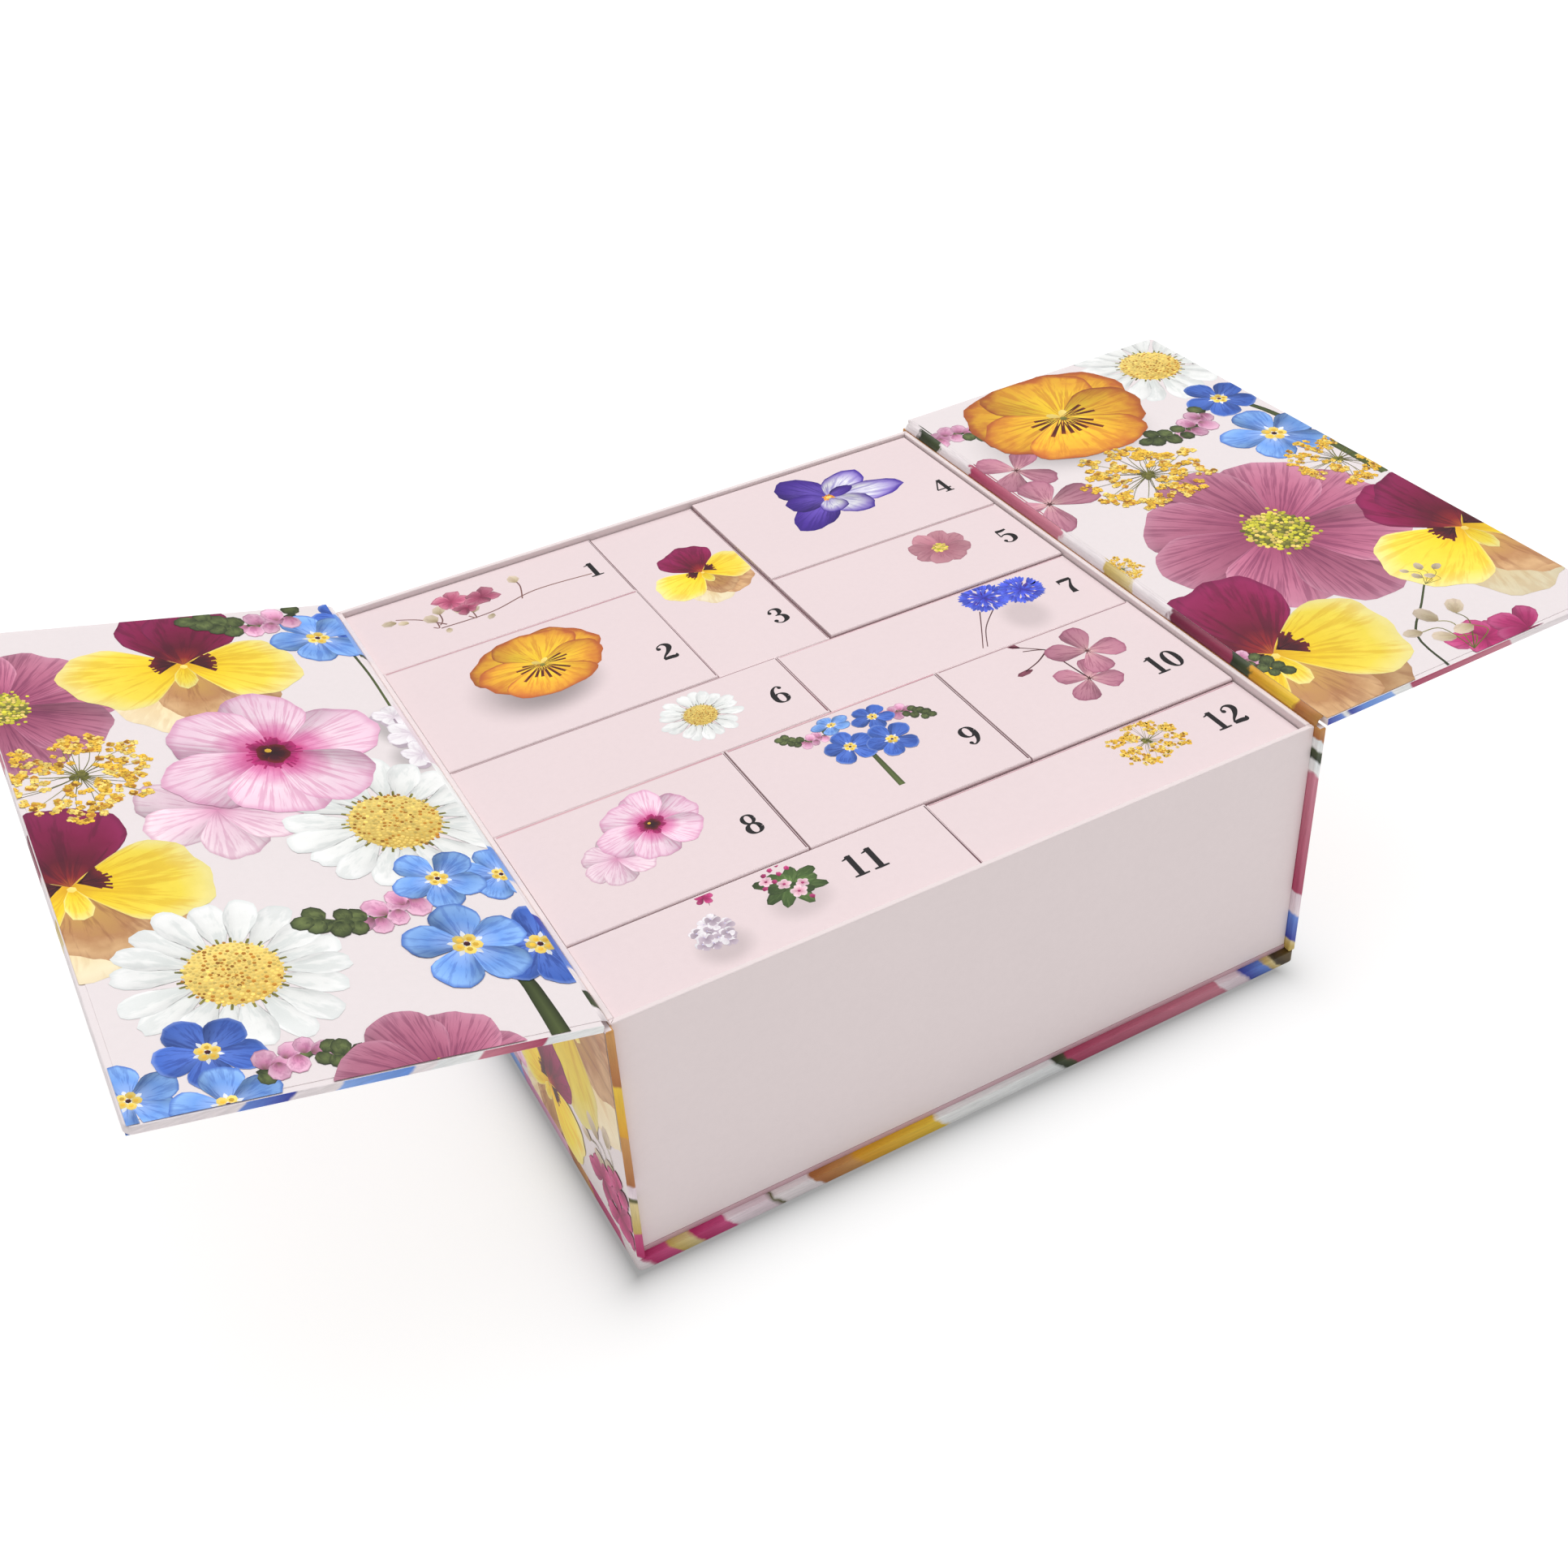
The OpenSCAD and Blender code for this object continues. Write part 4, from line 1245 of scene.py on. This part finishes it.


def printLid(number):
    lidLow, lidHigh = (find(f"carton_lid_{number}") - trayCorner for find in (low, high))
    sheet = Sheet(f"carton_{number}_print", trayCorner + Vector((0, 0, lidHigh.z)),
                  Vector((1, 0, 0)), Vector((0, 1, 0)))
    shiftX, shiftY = -seen["across"] * lidHigh.z, -seen["back"] * lidHigh.z
    for ink, points, widths in lidStems.get(number, ()):
        sheet.line(ink, [(x + shiftX, y + shiftY) for x, y in points], widths, 1)
    for x, y, turn in lidBuds.get(number, ()):
        drawn = Bloom(f"bud{number}{turn}")
        drawn.petal("budDark", 7.0, 1.4, turn, belly=0.5, sweep=165, detail=(6, 4))
        sheet.join(drawn, x + shiftX, y + shiftY, 0, 2)
    blooms, figure = lidPrints[number]
    for kind, x, y, *shape in blooms:
        sheet.bloom(kind, x + shiftX, y + shiftY, *shape)
    addFigures(sheet, str(number), figure[0] + shiftX, figure[1] + shiftY)
    sheet.trim((lidLow.x + lidEdge, lidLow.y + lidEdge), (lidHigh.x - lidEdge, lidHigh.y - lidEdge))
    # thin strips of painted shade along a lid's back and right side, where the joints between cartons fall
    # into shade
    back, right = seamShades.get(number, (0, 0))
    if back:
        y = lidHigh.y - seamShadeEdge["back"] - 0.5 * back
        sheet.line("seamPale", [(lidLow.x + lidEdge, y), (lidHigh.x - lidEdge, y)], [back, back], 1)
    if right:
        x = lidHigh.x - seamShadeEdge["right"] - 0.5 * right
        sheet.line("seam", [(x, lidLow.y + lidEdge), (x, lidHigh.y - lidEdge)], [right, 0.6 * right], 1)
    sheet.finish(f"carton_lid_{number}", "carton_card")


for number in range(1, 13):
    printLid(number)
print("stage: carton lids printed")

# inside the doors: kind, x, y, size and turn of each bloom, in mm from the door's back left corner
leftInside = [
    ("cosmos", 4, -53, 40, 10), ("forgetDark", 138, -14, 16, 20),
    ("viola", 69, -36, 42, -6), ("forget", 121, -26, 18.5, 15), ("buds", 118, -6, 36, 188),
    ("snowFlower", 130, -86, 9, 0), ("snowFlower", 132, -98, 11, 40), ("snowFlower", 131, -112, 9, 70),
    ("phloxPale", 57, -128, 26, 10), ("daisy", 109, -148, 37, 5),
    ("viola", 7, -157, 42, 4), ("umbel", 21, -99, 27, 0), ("phlox", 83, -100, 39, 0),
    ("daisy", 41, -208, 34, 12), ("forget", 131, -184, 14, 0),
    ("buds", 103, -186, 34, 198), ("forget", 111, -181, 15.5, 30),
    ("forgetDark", 129, -220, 19, 50), ("forget", 108, -214, 20, 0),
    ("forget", 3, -250, 14, 10), ("forgetDark", 26, -238, 15, 30), ("forget", 26, -259, 15, 0),
    ("buds", 36, -250, 28, 4), ("cosmos", 82, -268, 31, 15),
]
rightInside = [
    ("daisy", 114, -22, 33, 0), ("forgetDark", 118, -64, 16, 10), ("cosmos", 66, -160, 54, 8),
    ("clarkia", 12, -64, 17, 0), ("clarkia", 7, -94, 21, 40),
    ("buds", -6, -24, 32, -12), ("pansy", 54, -38, 41.5, 0), ("viola", 123, -197, 44, 4),
    ("forget", 116, -101, 22, 0), ("buds", 106, -68, 34, 202), ("umbel", 53, -98, 28, 0),
    ("umbel", 122, -132, 21, 30), ("umbel", 1, -148, 9, 0), ("viola", 10, -221, 50, -2),
    ("buds", -13, -214, 24, -30), ("tiny", 76, -254, 13, 0), ("tiny", 92, -258, 14, 30),
    ("beads", 72, -238, 14, 30), ("beads", 90, -211, 7, 0),
]
linerShadows = {                                # x, y, reach x, reach y and depth, as on the cartons
    "left": [(-137, 36, 10, 15, 0.4), (-137, 16, 10, 12, 0.35)],
    "right": [(176, 80, 44, 36, 0.36), (186, 72, 36, 28, 0.24)],
}
insideStems = {                                 # ink, points, widths and reach of each stem
    "left": [("stem", [(112, -222), (118, -232), (119, -246), (119, -262)], [3.0, 4.4, 5.4, 6.0], 4),
             ("stem", [(129, -30), (131, -55), (131, -80)], [1.2, 1.0, 1.0], 2)],
    "right": [("darkStem", [(8, -92), (10, -70), (14, -62)], [1.6, 1.4, 1.2], 2),
              ("darkStem", [(3, -60), (2, -54), (8, -51)], [1.6, 1.2, 1.0], 2),
              ("stem", [(121, -66), (128, -90), (130, -150)], [2.4, 3.0, 4.6], 2),
              ("stem", [(54, -259), (58, -240), (74, -226), (90, -212)], [1.0, 0.9, 0.8, 0.7], 2)],
}


def doorFrame(side, inside):                    # corner, across and upward of a door's face
    out, upward = doorWays(side)
    face = 1 if inside else -1
    start = case["hingeGap"] + (0 if side == face else doorWide)
    rise = case["boardThick"] / 2 + (case["linerThick"] if inside else 0)
    corner = Vector((side * hingeX, halfDeep, hingeZ)) + out * start + upward * face * rise
    return corner, out * side * face, Vector((0, 1, 0))


def printFace(name, frame, blooms, trimLow, trimHigh, body, slotName="wrapped_board", stems=()):
    sheet = Sheet(name, *frame)
    for stem in stems:
        sheet.line(*stem)
    for bloom in blooms:
        sheet.bloom(*bloom)
    sheet.trim(trimLow, trimHigh)
    sheet.finish(body, slotName)


margin, outsideMargin = case["printMargin"], case["outsideMargin"]
for (side, word), layout in zip(sides, (leftInside, rightInside)):
    printFace(f"door_{word}_inside_print", doorFrame(side, True), layout,
              (0 if side > 0 else margin, margin - caseDepth),
              (doorWide - (margin if side > 0 else 0), -margin), f"door_{word}", "lining_paper",
              insideStems[word])

outsidePrint = [                                # the same on both doors, the left one the other way up
    ("cosmos", 20, -40, 44, 20), ("viola", 92, -44, 40, 8), ("daisy", 56, -100, 34, 0),
    ("umbel", 112, -104, 26, 0), ("forget", 12, -104, 18, 10), ("forgetDark", 26, -128, 16, 30),
    ("pansy", 96, -160, 38, 0), ("phloxPale", 18, -168, 22, 0), ("phlox", 38, -182, 34, 20),
    ("buds", 66, -132, 24, 200), ("clarkia", 122, -214, 22, 30), ("cosmos", 84, -236, 38, 0),
    ("daisy", 20, -238, 32, 10), ("forget", 124, -12, 17, 0), ("umbel", 58, -8, 20, 0),
    ("viola", 128, -258, 30, 0),
]
for side, word in sides:
    printFace(f"door_{word}_outside_print", doorFrame(side, False),
              [(kind, x, y if side > 0 else -caseDepth - y, size, turn)
               for kind, x, y, size, turn in outsidePrint],
              (outsideMargin, outsideMargin - caseDepth), (doorWide - outsideMargin, -outsideMargin),
              f"door_{word}")

sidePrints = {                                  # mm from the side board's lower corner at the left hand
    "left": [
        ("cosmos", 30, 70, 42, 0), ("daisy", 92, 34, 36, 10), ("forget", 84, 84, 20, 0),
        ("umbel", 132, 78, 26, 0), ("phlox", 150, 28, 34, 10), ("cosmos", 186, 60, 34, 10),
        ("viola", 216, 82, 50, 76), ("viola", 196, 22, 30, -20), ("beads", 240, 36, 14, 60),
        ("tiny", 238, 18, 10, 0), ("tiny", 250, 12, 11, 50), ("tiny", 252, 27, 8, 80)],
    "right": [
        ("viola", 28, 60, 42, 0), ("forget", 10, 14, 18, 0), ("daisy", 84, 70, 34, 10),
        ("phlox", 96, 18, 32, 0), ("umbel", 126, 60, 24, 0), ("cosmos", 170, 60, 44, 0),
        ("forgetDark", 138, 12, 18, 0), ("pansy", 232, 46, 36, 0), ("forget", 200, 10, 18, 20)],
}
sideMargin = {"ends": 0.4, "low": 0.5, "high": 100.6}     # where the printing stops on a side board
for side, word in sides:
    corner = Vector((side * hingeX, -side * halfDeep, low("side_board_left").z))
    printFace(f"side_{word}_print", (corner, Vector((0, side, 0)), Vector((0, 0, 1))),
              sidePrints[word], (sideMargin["ends"], sideMargin["low"]),
              (caseDepth - sideMargin["ends"], sideMargin["high"]), "case")

# painted shade along the creases where the tray's papers are folded over its corners
creaseShades = Sheet("tray_crease_print", trayCorner, Vector((1, 0, 0)), Vector((0, 1, 0)))
trayWide = high("tray_right").x - low("tray_left").x
trayDeep = high("tray_back").y - low("tray_front").y
wall = high("tray_front").y - low("tray_front").y
for x, y, turnX, turnY in ((0, 0, 1, -1), (trayWide, 0, -1, -1), (0, -trayDeep, 1, 1),
                           (trayWide, -trayDeep, -1, 1)):
    creaseShades.line("crease", [(x + turnX * reach, y + turnY * reach) for reach in (0.4, wall / 2, wall - 0.4)],
                 [0.12, 0.16, 0.12], 1)
creaseShades.finish("case", "tray_paper")
print("stage: doors and case printed")

# the linings, the tray's floor, the magnets and the plates keep their solids
linerPapers = {word: paper(f"lining_paper_{word}", paperLook["linerGround"], 0.42, linerShadows[word])
               for word in ("left", "right")}
kept = {
    "door_liner_left": linerPapers["left"], "door_liner_right": linerPapers["right"],
    "tray_floor": trayLining, "door_magnets_left": magnetSteel, "door_magnets_right": magnetSteel,
    "closure_plates": plateSteel,
}
for node, finish in kept.items():
    solid = bpy.data.objects[node]
    solid.data.materials.clear()
    solid.data.materials.append(finish.material)

studio = {
    "floorSize": 24.0,
    "sky": 0.41,
    "keyPower": 66.0,
    "keySize": 3.2,
    "keyPlace": (0.5, 0.7, 2.6),
    "fillPower": 0.4,
    "fillSize": 2.0,
    "fillPlace": (1.6, -2.0, 1.2),
    "floorGlow": 0.86,
    "floorTone": tint(140, 140, 140),
    "shadeShift": (-5, -5, 0),                  # mm from the middle of the case to that of its shade
    "shadeInner": 4,                            # mm from the case's edge in to that of the full shade
    "shadeDeep": 0.55,
    "shadeNear": 6.0,
    "shadeFaint": 0.1,
    "shadeFar": 28.0,
}


def buildStudio():
    work = bmesh.new()
    bmesh.ops.create_grid(work, x_segments=6, y_segments=6, size=studio["floorSize"] / 2)
    mesh = bpy.data.meshes.new("studio_floor")
    work.to_mesh(mesh)
    work.free()
    floorFinish = Finish("studio_floor", 0.9)
    inner = studio["shadeInner"]
    near = floorFinish.vector("SUBTRACT", floorFinish.place, [part * mm for part in studio["shadeShift"]])
    near = floorFinish.vector("ABSOLUTE", near)
    near = floorFinish.vector("SUBTRACT", near, ((hingeX - inner) * mm, (halfDeep - inner) * mm, 0))
    near = floorFinish.vector("MAXIMUM", near, (0, 0, 0))
    away = floorFinish.vector("LENGTH", near, out=1)
    shade = 1.0 - studio["shadeDeep"] * math.e ** (away * (-1 / mm / studio["shadeNear"]))
    shade = shade - studio["shadeFaint"] * math.e ** (away * (-1 / mm / studio["shadeFar"]))
    ground = floorFinish.mix(floorFinish.noise(0.6, 1.0), studio["floorTone"], tint(142, 142, 142))
    floorFinish.done(floorFinish.shaded(ground, shade))
    glow = floorFinish.shaded((1, 1, 1), shade)
    floorFinish.feed(floorFinish.surface.inputs["Emission Color"], glow)
    floorFinish.surface.inputs["Emission Strength"].default_value = studio["floorGlow"]
    floorFinish.surface.inputs["Specular IOR Level"].default_value = 0.0
    mesh.materials.append(floorFinish.material)
    floor = bpy.data.objects.new("studio_floor", mesh)
    bpy.context.scene.collection.objects.link(floor)
    world = bpy.data.worlds.new("studio")
    world.use_nodes = True
    world.node_tree.nodes["Background"].inputs["Color"].default_value = (1, 1, 1, 1)
    world.node_tree.nodes["Background"].inputs["Strength"].default_value = studio["sky"]
    bpy.context.scene.world = world
    for name in ("key", "fill"):
        power, size, at = (studio[name + word] for word in ("Power", "Size", "Place"))
        lamp = bpy.data.lights.new(name, "AREA")
        lamp.energy = power
        lamp.shape = "SQUARE"
        lamp.size = size
        holder = bpy.data.objects.new(name, lamp)
        holder.location = at
        holder.rotation_euler = (Vector((0, 0, 0.05)) - Vector(at)).to_track_quat("-Z", "Y").to_euler()
        bpy.context.scene.collection.objects.link(holder)


buildStudio()
print("stage: studio lit")
